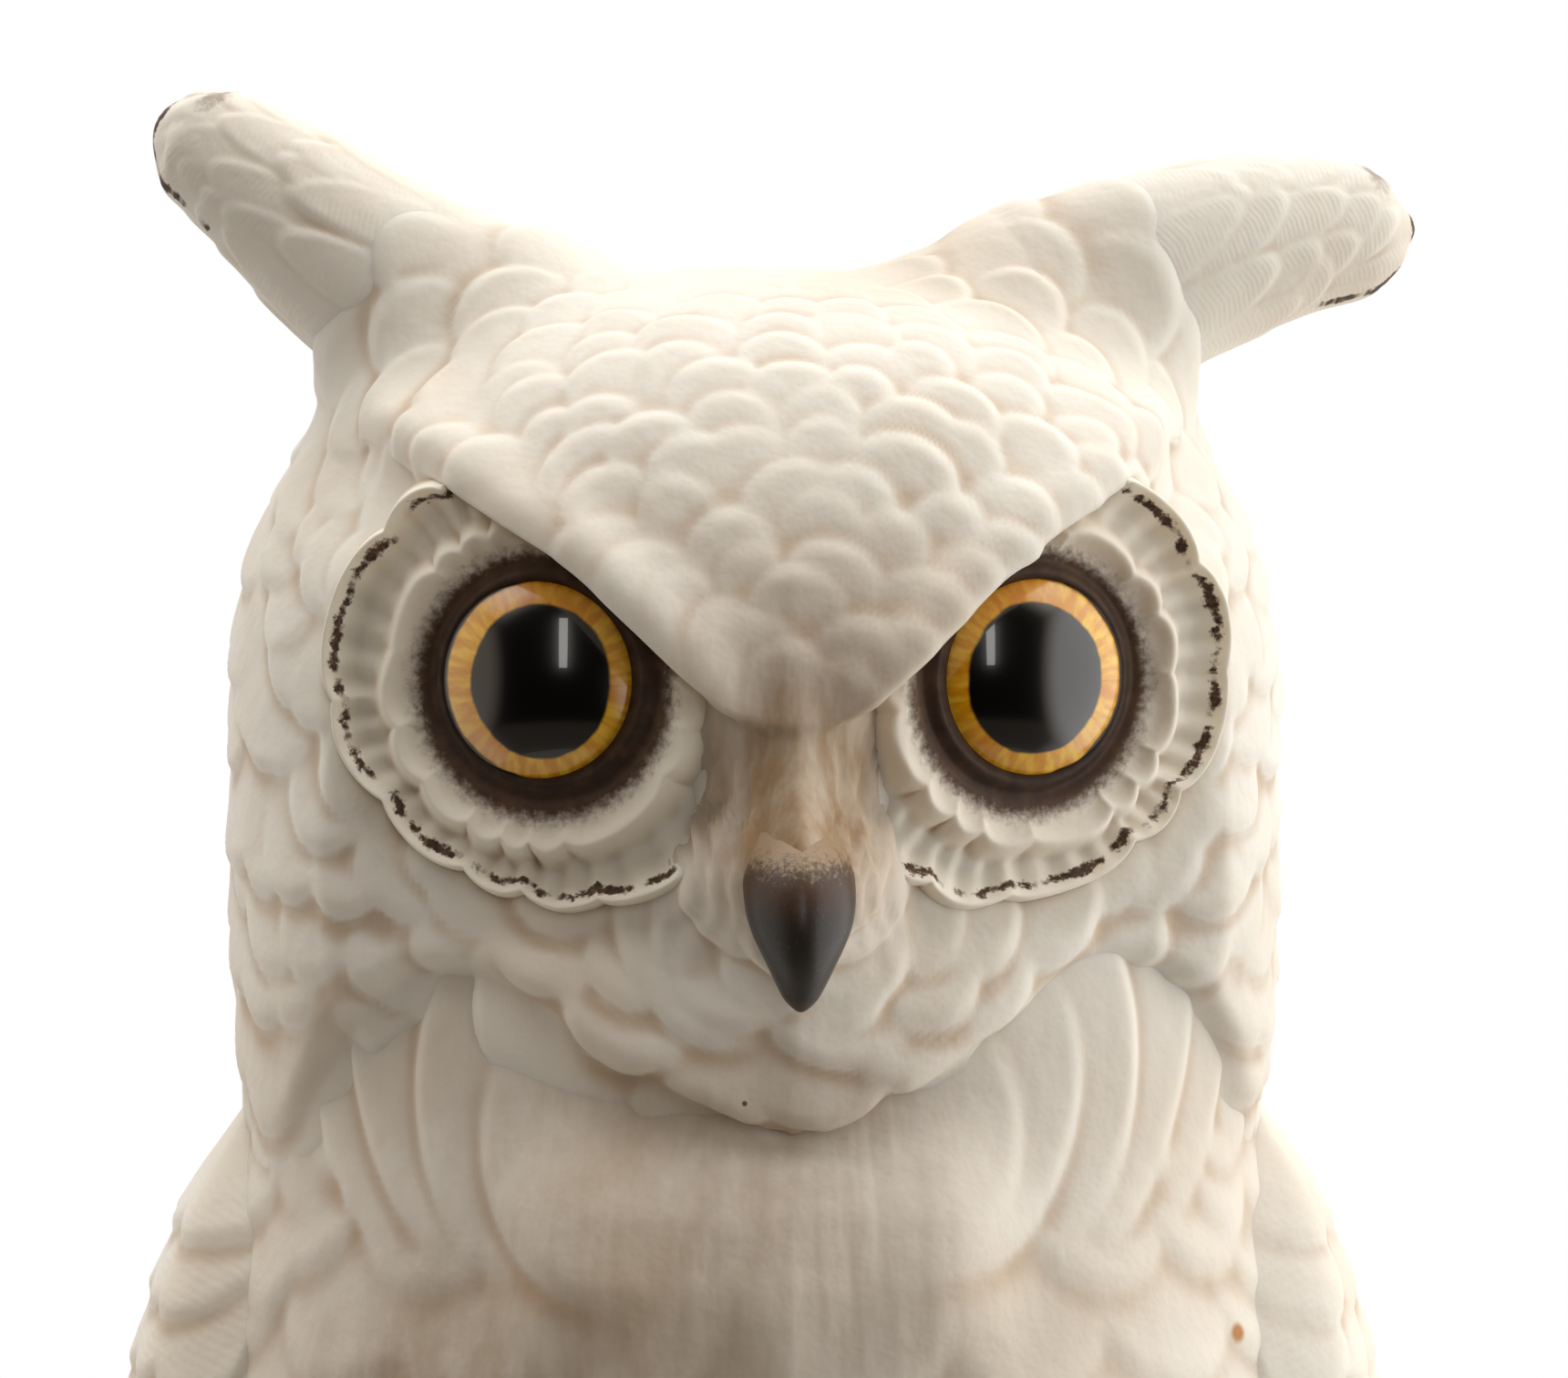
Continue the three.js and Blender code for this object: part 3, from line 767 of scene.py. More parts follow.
    def _surface(self, tree: Tree, place: Socket, grain: Socket) -> Socket:
        """Bump: barbs along each feather, soft hand-finishing dents, and the clay's grain."""
        turns = times(tree, channel(tree, "barb"), 2 * math.pi / self.barb_mm)
        waver = times(tree, noise(tree, place, per_metre(2.5), 2.0), 3.0)
        stripes = joined(tree, "SINE", plus(tree, turns, waver), 0.0)
        barbs = times(tree, stripes, channel(tree, "vane"))
        first = add_node(tree, "ShaderNodeBump", {"Strength": 1.0, "Distance": self.barb_depth * MM},
                         {"Height": barbs})
        dents = add_node(tree, "ShaderNodeBump", {"Strength": 1.0, "Distance": 0.12 * MM},
                         {"Height": noise(tree, place, per_metre(1.8), 2.0), "Normal": first.outputs[0]})
        fine = add_node(tree, "ShaderNodeBump", {"Strength": 0.5, "Distance": 0.02 * MM},
                        {"Height": grain, "Normal": dents.outputs[0]})
        return fine.outputs[0]


@dataclass(frozen=True)
class GlazedEye:
    """A painted and glazed eye: black pupil, amber iris brushed in a ring, and a wet clear glaze over both."""

    name: str = "glazed painted eye"
    pupil: str = "#0b0908"
    iris: str = "#e39a08"
    iris_light: str = "#ffcb38"
    iris_red: str = "#cf5c08"
    outline: str = "#24150c"
    pupil_mm: float = 4.6
    iris_mm: float = 6.5

    def material(self) -> bpy.types.Material:
        """The finish as a node material."""
        made, tree, place = blank_material(self.name)
        radius = channel(tree, "radius")
        wobble = times(tree, minus(tree, noise(tree, place, per_metre(2.4)), 0.5), 0.5)
        edge = plus(tree, radius, wobble)
        rays = add_node(tree, "ShaderNodeCombineXYZ", {}, {0: channel(tree, "turn"), 1: radius})
        streak = add_node(tree, "ShaderNodeMapping", {"Scale": (9.0, 0.5, 1.0)}, {"Vector": rays.outputs[0]})
        streaks = stepped(tree, noise(tree, streak.outputs[0], 1.0, 3.0), 0.35, 0.7)
        sweep = add_node(tree, "ShaderNodeMapping", {"Scale": (0.9, 0.0, 1.0)}, {"Vector": rays.outputs[0]})
        reds = stepped(tree, noise(tree, sweep.outputs[0], 1.0, 1.0), 0.45, 0.65)
        iris = tinted(tree, tinted(tree, self.iris, self.iris_light, streaks), self.iris_red, times(tree, reds, 0.35))
        inner = stepped(tree, edge, self.pupil_mm + 0.28, self.pupil_mm)
        outer = stepped(tree, edge, self.iris_mm - 0.12, self.iris_mm + 0.12)
        colour = tinted(tree, tinted(tree, iris, self.pupil, inner), self.outline, outer)
        shade(tree, {"Roughness": 0.22, "IOR": 1.5, "Coat Weight": 1.0, "Coat Roughness": 0.02, "Coat IOR": 1.48},
              {"Base Color": colour})
        return made


@dataclass(frozen=True)
class PaintedHorn:
    """Bisque painted as horn: slate black towards the tip, thinning to speckled brown where it meets the clay."""

    name: str = "painted horn on bisque"
    clay: str = "#efe8dc"
    brown: str = "#48301f"
    slate: str = "#2c2723"
    fleck: str = "#6e5a4a"

    def material(self) -> bpy.types.Material:
        """The finish as a node material."""
        made, tree, place = blank_material(self.name)
        along = channel(tree, "along")
        spatter = noise(tree, place, per_metre(0.35), 3.0, 0.7)
        reach = plus(tree, along, times(tree, minus(tree, spatter, 0.5), 0.55))
        start = stepped(tree, reach, -0.02, 0.2)
        slate = stepped(tree, reach, 0.18, 0.6)
        flecks = times(tree, stepped(tree, spatter, 0.6, 0.75), 0.5)
        horn = tinted(tree, tinted(tree, self.brown, self.slate, slate), self.fleck, flecks)
        colour = tinted(tree, self.clay, horn, start)
        bump = add_node(tree, "ShaderNodeBump", {"Strength": 0.6, "Distance": 0.03 * MM}, {"Height": spatter})
        shade(tree, {"Roughness": 0.36, "IOR": 1.5, "Specular IOR Level": 0.45},
              {"Base Color": colour, "Normal": bump.outputs[0]})
        return made


@dataclass
class Workshop:
    """Makes each finish once, and turns surfaces into pieces of the object."""

    made: dict[object, bpy.types.Material] = field(default_factory=dict)

    def finish(self, look: Bisque | GlazedEye | PaintedHorn) -> bpy.types.Material:
        """The material of a finish, made the first time."""
        if look not in self.made:
            self.made[look] = look.material()
        return self.made[look]

    def piece(self, name: str, surface: Surface, look: Bisque | GlazedEye | PaintedHorn, slot: str,
              nodes: Sequence[str]) -> bpy.types.Object:
        """Puts a surface into the scene as a piece.

        Args:
            name: The piece's name.
            surface: Its shape.
            look: Its finish.
            slot: A material slot's name. Not used.
            nodes: The CAD nodes that it stands for.

        Returns:
            The object.
        """
        mesh = surface.mesh(name)
        mesh.materials.append(self.finish(look))
        made = bpy.data.objects.new(name, mesh)
        bpy.context.scene.collection.objects.link(made)
        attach(made, "root")
        if nodes:
            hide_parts(*nodes)
        LOG.info("%s: %d faces", name, len(mesh.polygons))
        return made


def node_centre(node: str) -> Array:
    """The middle of a node's box, in millimetres."""
    low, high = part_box(node)
    return (np.array(low) + np.array(high)) / 2 / MM


# ---- Head -----------------------------------------------------------------------------------------------------------


@dataclass
class HeadFrame:
    """The head's own frame: its origin is the head's middle, and it is turned to the owl's left."""

    turn: float = math.radians(5.1)
    above_neck: float = 32.0
    origin: Array = field(init=False)

    def __post_init__(self) -> None:
        """Finds the origin from the head's node."""
        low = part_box("head_shell")[0]
        middle = node_centre("head_shell")
        self.origin = np.array([middle[0], middle[1], low[2] / MM + self.above_neck])

    def _matrix(self) -> Array:
        """The turn as a matrix."""
        c, s = math.cos(self.turn), math.sin(self.turn)
        return np.array([[c, -s, 0], [s, c, 0], [0, 0, 1]])

    def to_row(self, points: Array) -> Array:
        """Points from the head's frame to the row's."""
        return points @ self._matrix().T + self.origin


class EarForm(Sweep):
    """An ear's shape without its feathers, with the distance to its root for blending it into the head."""

    def root_distance(self, points: Array, until: float) -> Array:
        """Roughly the distance to the ear's root, which shrinks to nothing before t reaches until."""
        start = np.array(self.line[0][1:])
        chord = np.array(self.line[-1][1:]) - start
        t = np.clip((points - start) @ chord / np.sum(chord**2), 0.0, 1.0)
        middle, across, through = self.frame(t)
        half, high = between(self.section, t)
        shrink = 1 - smooth_step(until * 0.45, until, t)
        half, high = half * shrink + 0.01, high * shrink + 0.01
        offset = points - middle
        u = np.sum(offset * across, axis=-1) / half
        v = np.sum(offset * through, axis=-1) / high
        beyond = np.where((t <= 0) | (t >= 1), np.sum(offset * np.cross(across, through), axis=-1), 0.0)
        w = beyond / np.minimum(half, high)
        return (np.sqrt(u * u + v * v + w * w) - 1) * np.minimum(half, high)


@dataclass
class HeadForm:
    """The head's shape without its feathers, in its own frame.

    The body is a rounded-square column, |x/a|^n + |y/b|^n = 1, closed above the middle by a dome of power m. The ears'
    roots are blended into it. The brow is the body's own front. Below its edge the face steps back to the planes of
    the two facial discs, and the bridge stands between them as a hill.
    """

    ears: dict[Side, EarForm]
    seats: dict[Side, Array]
    girth: Rows = ((-44, 33.4, 31.0), (-32, 35.0, 32.0), (-22, 36.1, 33.4), (-10, 36.7, 33.6), (0, 36.6, 33.4))
    squareness: float = 2.3
    crown: float = 31.5
    dome_power: float = 2.45
    core: tuple[float, float, float] = (0.0, 0.0, 16.0)
    ear_blend: float = 7.0
    ear_until: float = 0.62
    brow: Rows = ((0, 1.3), (3.8, 1.6), (6.4, 3.6), (10.5, 7.5), (14.5, 11.4), (19, 14.4), (24, 17.8), (32, 23.5))
    brow_swell: float = 1.3
    mask_edge: Rows = ((0, -26.3), (15, -23), (28, -20), (42, -16.8), (54, -17), (64, -23), (76, -31), (100, -34),
                       (140, -35), (180, -35))
    mask_dip: float = 3.6
    bridge: Rows = ((-24, -29.0, 7), (-16, -31.8, 6), (-11.5, -35.6, 5), (-9.2, -38.0, 4.9), (-7.6, -38.9, 4.6),
                    (-5.5, -38.1, 4.2), (-3, -36.4, 4.0), (-0.5, -34.8, 5.0), (3, -33.6, 6.2), (8, -31.0, 6.5))
    bridge_drop: float = 4.4
    bridge_power: float = 1.35
    eye_turn: float = math.radians(21)
    hollow_radius: float = 15.7
    sink: float = 1.4
    cheek_sink: float = 0.4
    temple: float = 1.8

    def axis(self, side: Side) -> Array:
        """The way an eye's disc faces."""
        return np.array([side.value * math.sin(self.eye_turn), -math.cos(self.eye_turn), 0.0])

    def body(self, points: Array) -> Array:
        """Roughly the signed distance to the column and its dome."""
        x, y, z = np.moveaxis(points, -1, 0)
        a, b = between(self.girth, z)
        n, m = self.squareness, self.dome_power
        around = ((np.abs(x) / a) ** n + (np.abs(y) / b) ** n) ** (1 / n)
        high = np.maximum(z, 0) / self.crown
        swell = self.brow_swell * bell(z - self.brow_z(x) - 2.6, 3.4) * smooth_step(2.0, 8.0, np.abs(x))
        swell = swell * smooth_step(8.0, 18.0, -y)
        return ((around**m + high**m) ** (1 / m) - 1) * self.crown - swell

    def whole(self, points: Array) -> Array:
        """The body with the roots of the ears."""
        distance = self.body(points)
        for ear in self.ears.values():
            distance = smooth_min(distance, ear.root_distance(points, self.ear_until), self.ear_blend)
        return distance

    def brow_z(self, x: Array) -> Array:
        """Height of the brow's edge."""
        return between(self.brow, np.abs(x))[0]

    def hill(self, points: Array) -> Array:
        """Distance in front of the bridge: crest(z) + drop |x / half(z)|^p - y."""
        x, y, z = np.moveaxis(points, -1, 0)
        crest, half = between(self.bridge, z)
        return crest + self.bridge_drop * np.abs(x / half) ** self.bridge_power - y

    def ways(self, turn: Array, climb: Array) -> Array:
        """Unit directions from a turn, measured from the front towards the owl's left, and a climb."""
        flat = np.cos(climb)
        return np.stack([flat * np.sin(turn), -flat * np.cos(turn), np.sin(climb)], axis=-1)

    def face(self, way: Array, body: Array) -> Array:
        """Lengths of rays from the core to the face below the brow.

        Args:
            way: Unit directions.
            body: Lengths to the whole form.

        Returns:
            Lengths, never beyond the body except on the bridge.
        """
        core = np.array(self.core)
        sign = np.where(way[..., 0] < 0, -1.0, 1.0)
        axis = np.stack([sign * math.sin(self.eye_turn), np.full(sign.shape, -math.cos(self.eye_turn)),
                         np.zeros(sign.shape)], axis=-1)
        seat = self.seats[Side.LEFT] * np.stack([sign, np.ones(sign.shape), np.ones(sign.shape)], axis=-1)
        facing = np.sum(axis * way, axis=-1)
        front = facing > 0.12
        gap = np.sum(axis * (seat - core), axis=-1)
        flat = np.where(front, gap / np.where(front, facing, 1.0), 200.0)
        spot = core + way * flat[..., None]
        radius = np.linalg.norm(spot - seat, axis=-1)
        round_share = np.where(front, 1 - smooth_step(self.hollow_radius - 0.4, self.hollow_radius + 0.6, radius), 0)
        turn = np.degrees(np.abs(np.arctan2(way[..., 0], -way[..., 1])))
        z = (core + way * body[..., None])[..., 2]
        cheek_share = np.where(front, (1 - smooth_step(3, 9, z)) * (1 - smooth_step(50, 64, turn)), 0)
        drawn = smooth_step(-14.0, -27.0, z)
        cheek = np.minimum(flat - self.cheek_sink, body - 0.3) * (1 - drawn) + (body - 1.6) * drawn
        length = body + (np.minimum(cheek, body) - body) * cheek_share
        length = length + (np.minimum(flat - self.sink, body) - length) * round_share
        return self.bridged(way, length, 1.6)

    def bridged(self, way: Array, length: Array, blend: float) -> Array:
        """Lengths of rays with the bridge's hill laid over them."""
        near = (way[..., 1] < -0.5) & (np.abs(way[..., 0]) < 0.45) & (way[..., 2] < -0.12)
        core = np.broadcast_to(np.array(self.core), way.shape)
        hill = np.where(near, cast(self.hill, core, way, 70.0), 0.0)
        return np.where(near, -smooth_min(-length, -hill, blend), length)


@dataclass
class Head:
    """The head: crown, brow, cheeks and the bridge of the beak, with the roots of the ears.

    Every point is on a ray from the core. The rows run from the neck to the brow's edge, up the step there, and on to
    the top of the head.
    """

    shop: Workshop
    frame: HeadFrame
    form: HeadForm
    columns: int = 400
    face_rows: int = 108
    step_rows: int = 6
    brow_rows: int = 122
    neck: float = -37.0
    step_climb: float = 0.004
    brow_ends: float = math.radians(62)
    lip: float = 0.2
    fan_centre: tuple[float, float, float] = (0.0, 0.0, -5.0)
    fan_tilt: float = math.radians(9)
    fan_radius: float = 36.0
    pitch: Rows = ((0, 2.4), (40, 2.5), (90, 3.1), (150, 2.6), (180, 2.5))
    width: Rows = ((0, 4.7), (40, 4.9), (90, 5.5), (150, 6.2), (180, 6.0))
    lift: Rows = ((0, 0.74), (60, 0.8), (90, 0.9), (140, 0.95), (180, 0.9))

    def build(self) -> None:
        """Makes the head shell."""
        surface = self._surface()
        Relief(soft=1.05, rise=1.25, camber=0.3, shoulder=0.12, bead=0.1).stamp(surface, self._feathers(), 1)
        self._bristle(surface)
        # Brown wash on the bridge, and painted shade in the face's hollows and under the chin.
        surface.channels["stain"] = self._stain(surface)
        surface.points = self.frame.to_row(surface.points)
        self.shop.piece("head_shell_plumage", surface, Bisque(), BISQUE_SLOT, ["head_shell"])

    def _flat_radius(self, turn: Array, z: Array) -> Array:
        """Distance from the middle line to the body at a turn and a height."""
        form = self.form
        a, b = between(form.girth, z)
        n, m = form.squareness, form.dome_power
        flat = ((np.abs(np.sin(turn)) / a) ** n + (np.abs(np.cos(turn)) / b) ** n) ** (-1 / n)
        return flat * (1 - np.clip(z / form.crown, 0, 0.99) ** m) ** (1 / m)

    def _brow_height(self, turn: Array) -> Array:
        """Height of the brow's edge at a turn, found by repeating z = brow(x(z))."""
        held = np.clip(turn, -self.brow_ends, self.brow_ends)
        z = np.full(turn.shape, 10.0)
        for _ in range(12):
            z = (z + self.form.brow_z(self._flat_radius(held, z) * np.sin(held))) / 2
        return z

    def _surface(self) -> Surface:
        """The bare surface, in the head's frame."""
        form, core = self.form, np.array(self.form.core)
        turn = dense_angles(self.columns, 0.0, 2.2, math.radians(100))
        edge = self._brow_height(turn)
        edge_climb = np.arctan2(edge - core[2], self._flat_radius(turn, edge))
        low_climb = np.arctan2(self.neck - core[2], self._flat_radius(turn, np.full(turn.shape, self.neck)))
        rise = np.linspace(0, 1, self.face_rows)[:, None]
        low = low_climb + (edge_climb - low_climb) * rise
        steps = np.arange(1, self.step_rows + 1)[:, None] * self.step_climb + edge_climb
        top = steps[-1] + 0.008
        rest = np.linspace(0, 1, self.brow_rows)[:, None] ** 1.12
        high = top + (math.radians(89.0) - top) * rest
        climb = np.concatenate([low, steps, high])
        share = np.concatenate([np.zeros(self.face_rows), np.linspace(0.12, 0.9, self.step_rows),
                                np.ones(self.brow_rows)])[:, None]
        turns = np.broadcast_to(turn, climb.shape)
        way = form.ways(turns, climb)
        body = cast(form.whole, np.broadcast_to(core, way.shape), way, 90.0)
        face = self._face(way, body, edge)
        z = (core + way * body[..., None])[..., 2]
        held = np.clip(np.abs(turns) / self.brow_ends, 0, 1)
        lip = self.lip * (1 - smooth_step(0.0, 1.3, z - edge)) * (1 - held**2)
        high_side = self.form.temple * bell(z - edge + 2.5, 4.0) * self._temple(np.degrees(np.abs(turns)), 40, 50)
        brow = form.bridged(way, body - lip - high_side, 2.5)
        length = face * (1 - share) + brow * share
        return Surface(core + way * length[..., None])

    def _temple(self, degrees: Array, start: float, full: float) -> Array:
        """How much of the temple's valley there is at a turn from the front."""
        return smooth_step(start, full, degrees) * (1 - smooth_step(58, 80, degrees))

    def _face(self, way: Array, body: Array, edge: Array) -> Array:
        """Lengths from the core to the face, with the temples' valleys and the drop below the mask.

        Args:
            way: Unit directions.
            body: Lengths to the whole form.
            edge: Height of the brow's edge in each direction.

        Returns:
            Lengths.
        """
        form = self.form
        z = form.core[2] + way[..., 2] * body
        degrees = np.degrees(np.abs(np.arctan2(way[..., 0], -way[..., 1])))
        sides = self._temple(degrees, 25, 38)
        face = form.face(way, body) - form.temple * bell(z - edge + 2.5, 4.0) * sides
        below = between(form.mask_edge, degrees)[0] - z
        return face - form.mask_dip * smooth_step(-0.5, 4.0, below) * (1 - smooth_step(46, 74, degrees))

    def _place(self, reach: Array, angle: Array) -> Array:
        """Points of the whole form at a reach from the fan's centre, and an angle from the owl's left upwards."""
        reach, angle = np.broadcast_arrays(reach, angle)
        bend = reach / self.fan_radius
        front = np.array([0, -math.cos(self.fan_tilt), math.sin(self.fan_tilt)])
        upward = np.array([0, math.sin(self.fan_tilt), math.cos(self.fan_tilt)])
        out = np.cos(angle)[..., None] * np.array([1.0, 0, 0]) + np.sin(angle)[..., None] * upward
        way = np.cos(bend)[..., None] * front + np.sin(bend)[..., None] * out
        start = np.broadcast_to(np.array(self.fan_centre), way.shape)
        return start + way * cast(self.form.whole, start, way, 90.0)[..., None]

    def _face_place(self, reach: Array, angle: Array) -> Array:
        """The same places on the face, below the brow's edge."""
        return self._settle(self._place(reach, angle))

    def _settle(self, points: Array) -> Array:
        """Points of the whole form, moved onto the face where they are below the brow."""
        core = np.array(self.form.core)
        body = np.linalg.norm(points - core, axis=-1)
        way = (points - core) / body[..., None]
        edge = self._brow_height(np.arctan2(way[..., 0], -way[..., 1]))
        face = self._face(way, body, edge)
        return core + way * np.where(points[..., 2] > edge, body, face)[..., None]

    def _feathers(self) -> Feathers:
        """Feathers in rings about the face, then in rows down the back of the head."""
        rng = np.random.default_rng(SEED)
        reaches, angles = [], []
        fine = np.linspace(-math.pi, math.pi, 721)
        from_up = np.degrees(np.abs((fine - math.pi / 2 + math.pi) % (2 * math.pi) - math.pi))
        for k in range(1, 34):
            ring_reach = between(self.pitch, from_up)[0] * (k + 0.012 * k * k)
            bigger = 1 + 0.35 * smooth_step(30, 60, ring_reach)
            wide = between(self.width, from_up)[0] * bigger
            step = self.fan_radius * np.abs(np.sin(np.clip(ring_reach / self.fan_radius, 0, 2.6))) / wide / 1.02
            total = np.concatenate([[0.0], np.cumsum((step[1:] + step[:-1]) / 2 * np.diff(fine))])
            count = max(6, int(round(total[-1])))
            even = (np.arange(count) + 0.5 * (k % 2) + rng.normal(0, 0.17, count)) / count * total[-1]
            angle = np.interp(even % total[-1], total, fine)
            angles.append(angle)
            reaches.append(np.interp(angle, fine, ring_reach) + rng.normal(0, 0.4, count))
        reach, angle = np.concatenate(reaches), np.concatenate(angles)
        keep = reach < 92
        reach, angle = reach[keep], angle[keep]
        from_up = np.degrees(np.abs((angle - math.pi / 2 + math.pi) % (2 * math.pi) - math.pi))
        bigger = 1 + 0.35 * smooth_step(30, 60, reach)
        swing = -np.cos(angle) * math.radians(62) * smooth_step(24, 42, reach)
        count = len(reach)
        sizes = {"length": between(self.pitch, from_up)[0] * 2.0 * bigger,
                 "width": between(self.width, from_up)[0] * 1.6 * bigger * rng.uniform(0.82, 1.25, count),
                 "lift": between(self.lift, from_up)[0] * rng.uniform(0.65, 1.2, count),
                 "turn": swing + rng.normal(0, 0.16, count)}
        brow = Feathers.laid(self._place, reach, angle, **sizes)
        tip = brow.root + brow.along * brow.length[:, None]
        over = (tip[:, 2] > self.form.brow_z(tip[:, 0]) + 0.3) | (tip[:, 1] > -6)
        face = Feathers.laid(self._face_place, reach, angle, **sizes).kept(~over)
        fan = Feathers.joined([brow.kept(over), face.kept(self._on_plumage(face))])
        down, turn = staggered(np.radians(np.arange(-62, 58, 5.2)), -math.pi, math.pi, math.radians(9.5), rng)
        back = Feathers.laid(self._back_place, down, turn, length=9.0, width=8.6, lift=0.85)
        behind = (back.root[:, 1] > 2 + 0.12 * back.root[:, 2]) & (back.root[:, 2] > -32)
        return Feathers.joined([fan.kept(fan.root[:, 1] < 8), back.kept(behind)])

    def _back_place(self, down: Array, turn: Array) -> Array:
        """Points of the whole form at an angle down from the level of the core, and a turn from the back."""
        way = -self.form.ways(turn, down)
        core = np.broadcast_to(np.array(self.form.core), way.shape)
        return core + way * cast(self.form.whole, core, way, 90.0)[..., None]

    def _on_plumage(self, feathers: Feathers) -> Array:
        """Whether each feather's tip is on plumage, and not in an eye hollow, on the bridge or below the mask."""
        tip = feathers.root + feathers.along * feathers.length[:, None]
        x, y, z = tip.T
        turn = np.degrees(np.abs(np.arctan2(x, -y)))
        above = z > self.form.brow_z(x) + 0.6
        keep = np.ones(len(tip), bool)
        for side in Side:
            seat, axis = self.form.seats[side], self.form.axis(side)
            offset = tip - seat
            apart = np.linalg.norm(offset - (offset @ axis)[:, None] * axis, axis=1)
            keep &= above | (apart > 16.4) | (y > 0)
        keep &= above | (np.abs(x) > 8) | (z < -11) | (y > 0)
        keep &= (z > between(self.form.mask_edge, turn)[0] - 2.0) | (y > 6)
        return keep

    def _stain(self, surface: Surface) -> Array:
        """Brown wash on the bridge, and painted shade in the hollows beside it, at the tip of the brow and under the
        chin.
        """
        x, y, z = np.moveaxis(surface.points, -1, 0)
        front = y < -15
        bridge = bell(x, 4.2) * smooth_step(9.0, -1.0, z) * smooth_step(-15.0, -6.0, z)
        # Painted shade at the tip of the brow's V, which faces down.
        tip = 0.45 * bell(x, 8.0) * bell(z - 6.0, 6.0)
        # Painted shade in the hollows between the bridge and the discs.
        beside = 0.55 * bell(np.abs(x) - 5.0, 3.0) * bell(z + 4.0, 6.0)
        # Painted shade under the chin.
        chin = 0.5 * smooth_step(-15.0, -24.0, z) * bell(x, 16.0)
        return np.clip(1.15 * bridge + beside + chin + tip, 0, 1) * front

    def _bristle(self, surface: Surface) -> None:
        """Fine bristles that run outwards and down from the bridge, as ridges about 0.9 mm apart."""
        x, y, z = np.moveaxis(surface.points, -1, 0)
        spread = np.abs(x) / (4.0 - np.clip(z, -14, 2) * 0.25)
        ridges = np.sin(spread * 23.0 + 1.6 * np.sin(z * 0.5 + x) + 0.8 * np.sin(z * 1.7))
        where = bell(z + 5.0, 6.0) * smooth_step(1.4, 3.0, np.abs(x)) * (1 - smooth_step(8.0, 11.0, np.abs(x)))
        where = where * (y < -20) * (1 - smooth_step(-1.5, 1.0, z - self.form.brow_z(x)))
        surface.raised(0.3 * ridges * where)


@dataclass
class Ear:
    """An ear tuft: a leaf-like lobe of long layered feathers, with brown brushed along its edge and near its tip."""

    shop: Workshop
    frame: HeadFrame
    form: EarForm
    side: Side
    rows: int = 170
    columns: int = 150
    tips: tuple[float, ...] = (0.34, 0.48, 0.62, 0.75, 0.87, 0.96, 1.0)
    painted_from: float = 0.66

    def build(self) -> None:
        """Makes the ear."""
        surface, t, angle = self.form.surface(self.rows, self.columns)
        surface.points = self._leaf(surface.points, t)
        Relief(soft=0.5, camber=0.2, rise=1.2, bead=0.2, shoulder=0.25).stamp(surface, self._feathers())
        self._paint(surface, t, angle)
        surface.points = self.frame.to_row(surface.points)
        name = f"ear_{self.side.word}_plumage"
        self.shop.piece(name, surface, Bisque(paint=Paint.EAR, barb_depth=0.006), BISQUE_SLOT,
                        [f"ear_{self.side.word}"])

    def _leaf(self, points: Array, t: Array) -> Array:
        """Draws the root in a little, so that it comes out of the head's own swelling."""
        middle = self.form.frame(t)[0]
        return middle + (points - middle) * (0.82 + 0.18 * smooth_step(0.0, 0.32, t))[..., None]

    def _feathers(self) -> Feathers:
        """Long feathers along the ear, the layers nearest the tip lowest."""
        rng = np.random.default_rng(SEED + self.side.value)
        length = self.form.length()
        layers = []
        for k, tip in enumerate(self.tips):
            long = 17.0 - 3.0 * rng.random()
            half, high = (float(v) for v in between(self.form.section, np.array(max(tip - 0.25, 0.0))))
            count = max(5, int(round(math.pi * (half + high) / 3.9)))
            angle = (np.arange(count) + 0.5 * (k % 2)) * 2 * math.pi / count + rng.normal(0, 0.08, count)
            start = np.clip(tip - long / length + rng.normal(0, 0.025, count), 0.01, 0.9)
            layers.append(Feathers.laid(self.form.place, start, angle,
                                        length=np.minimum(long, (1.02 - start) * length), width=5.2,
                                        lift=0.62 - 0.03 * k, turn=rng.normal(0, 0.06, count)))
        return Feathers.joined(layers)

    def _paint(self, surface: Surface, t: Array, angle: Array) -> None:
        """Channels for the brush: distance from the edge line, place along it, and distance from the blot."""
        length = self.form.length()
        half, high = between(self.form.section, t)
        girth = (half + high) / 2
        edge = math.radians(-90 - 26 * self.side.value)
        off = np.abs((angle - edge + math.pi) % (2 * math.pi) - math.pi) * girth
        over_tip = np.abs(t - 0.985) * length + 0.15
        line = np.minimum(off, over_tip) - 0.2 + 4 * (1 - smooth_step(self.painted_from, self.painted_from + 0.05, t))
        blot = math.radians(60 if self.side is Side.RIGHT else 110)
        beside = ((angle - blot + math.pi) % (2 * math.pi) - math.pi) * girth
        surface.channels["dab"] = line
        surface.channels["arc"] = t * length
        surface.channels["smudge"] = np.hypot((t - 0.88) * length / 0.6, beside / 1.3) - 1.0
        surface.channels["ring"] = np.full(t.shape, 9.0)


# ---- Face -----------------------------------------------------------------------------------------------------------


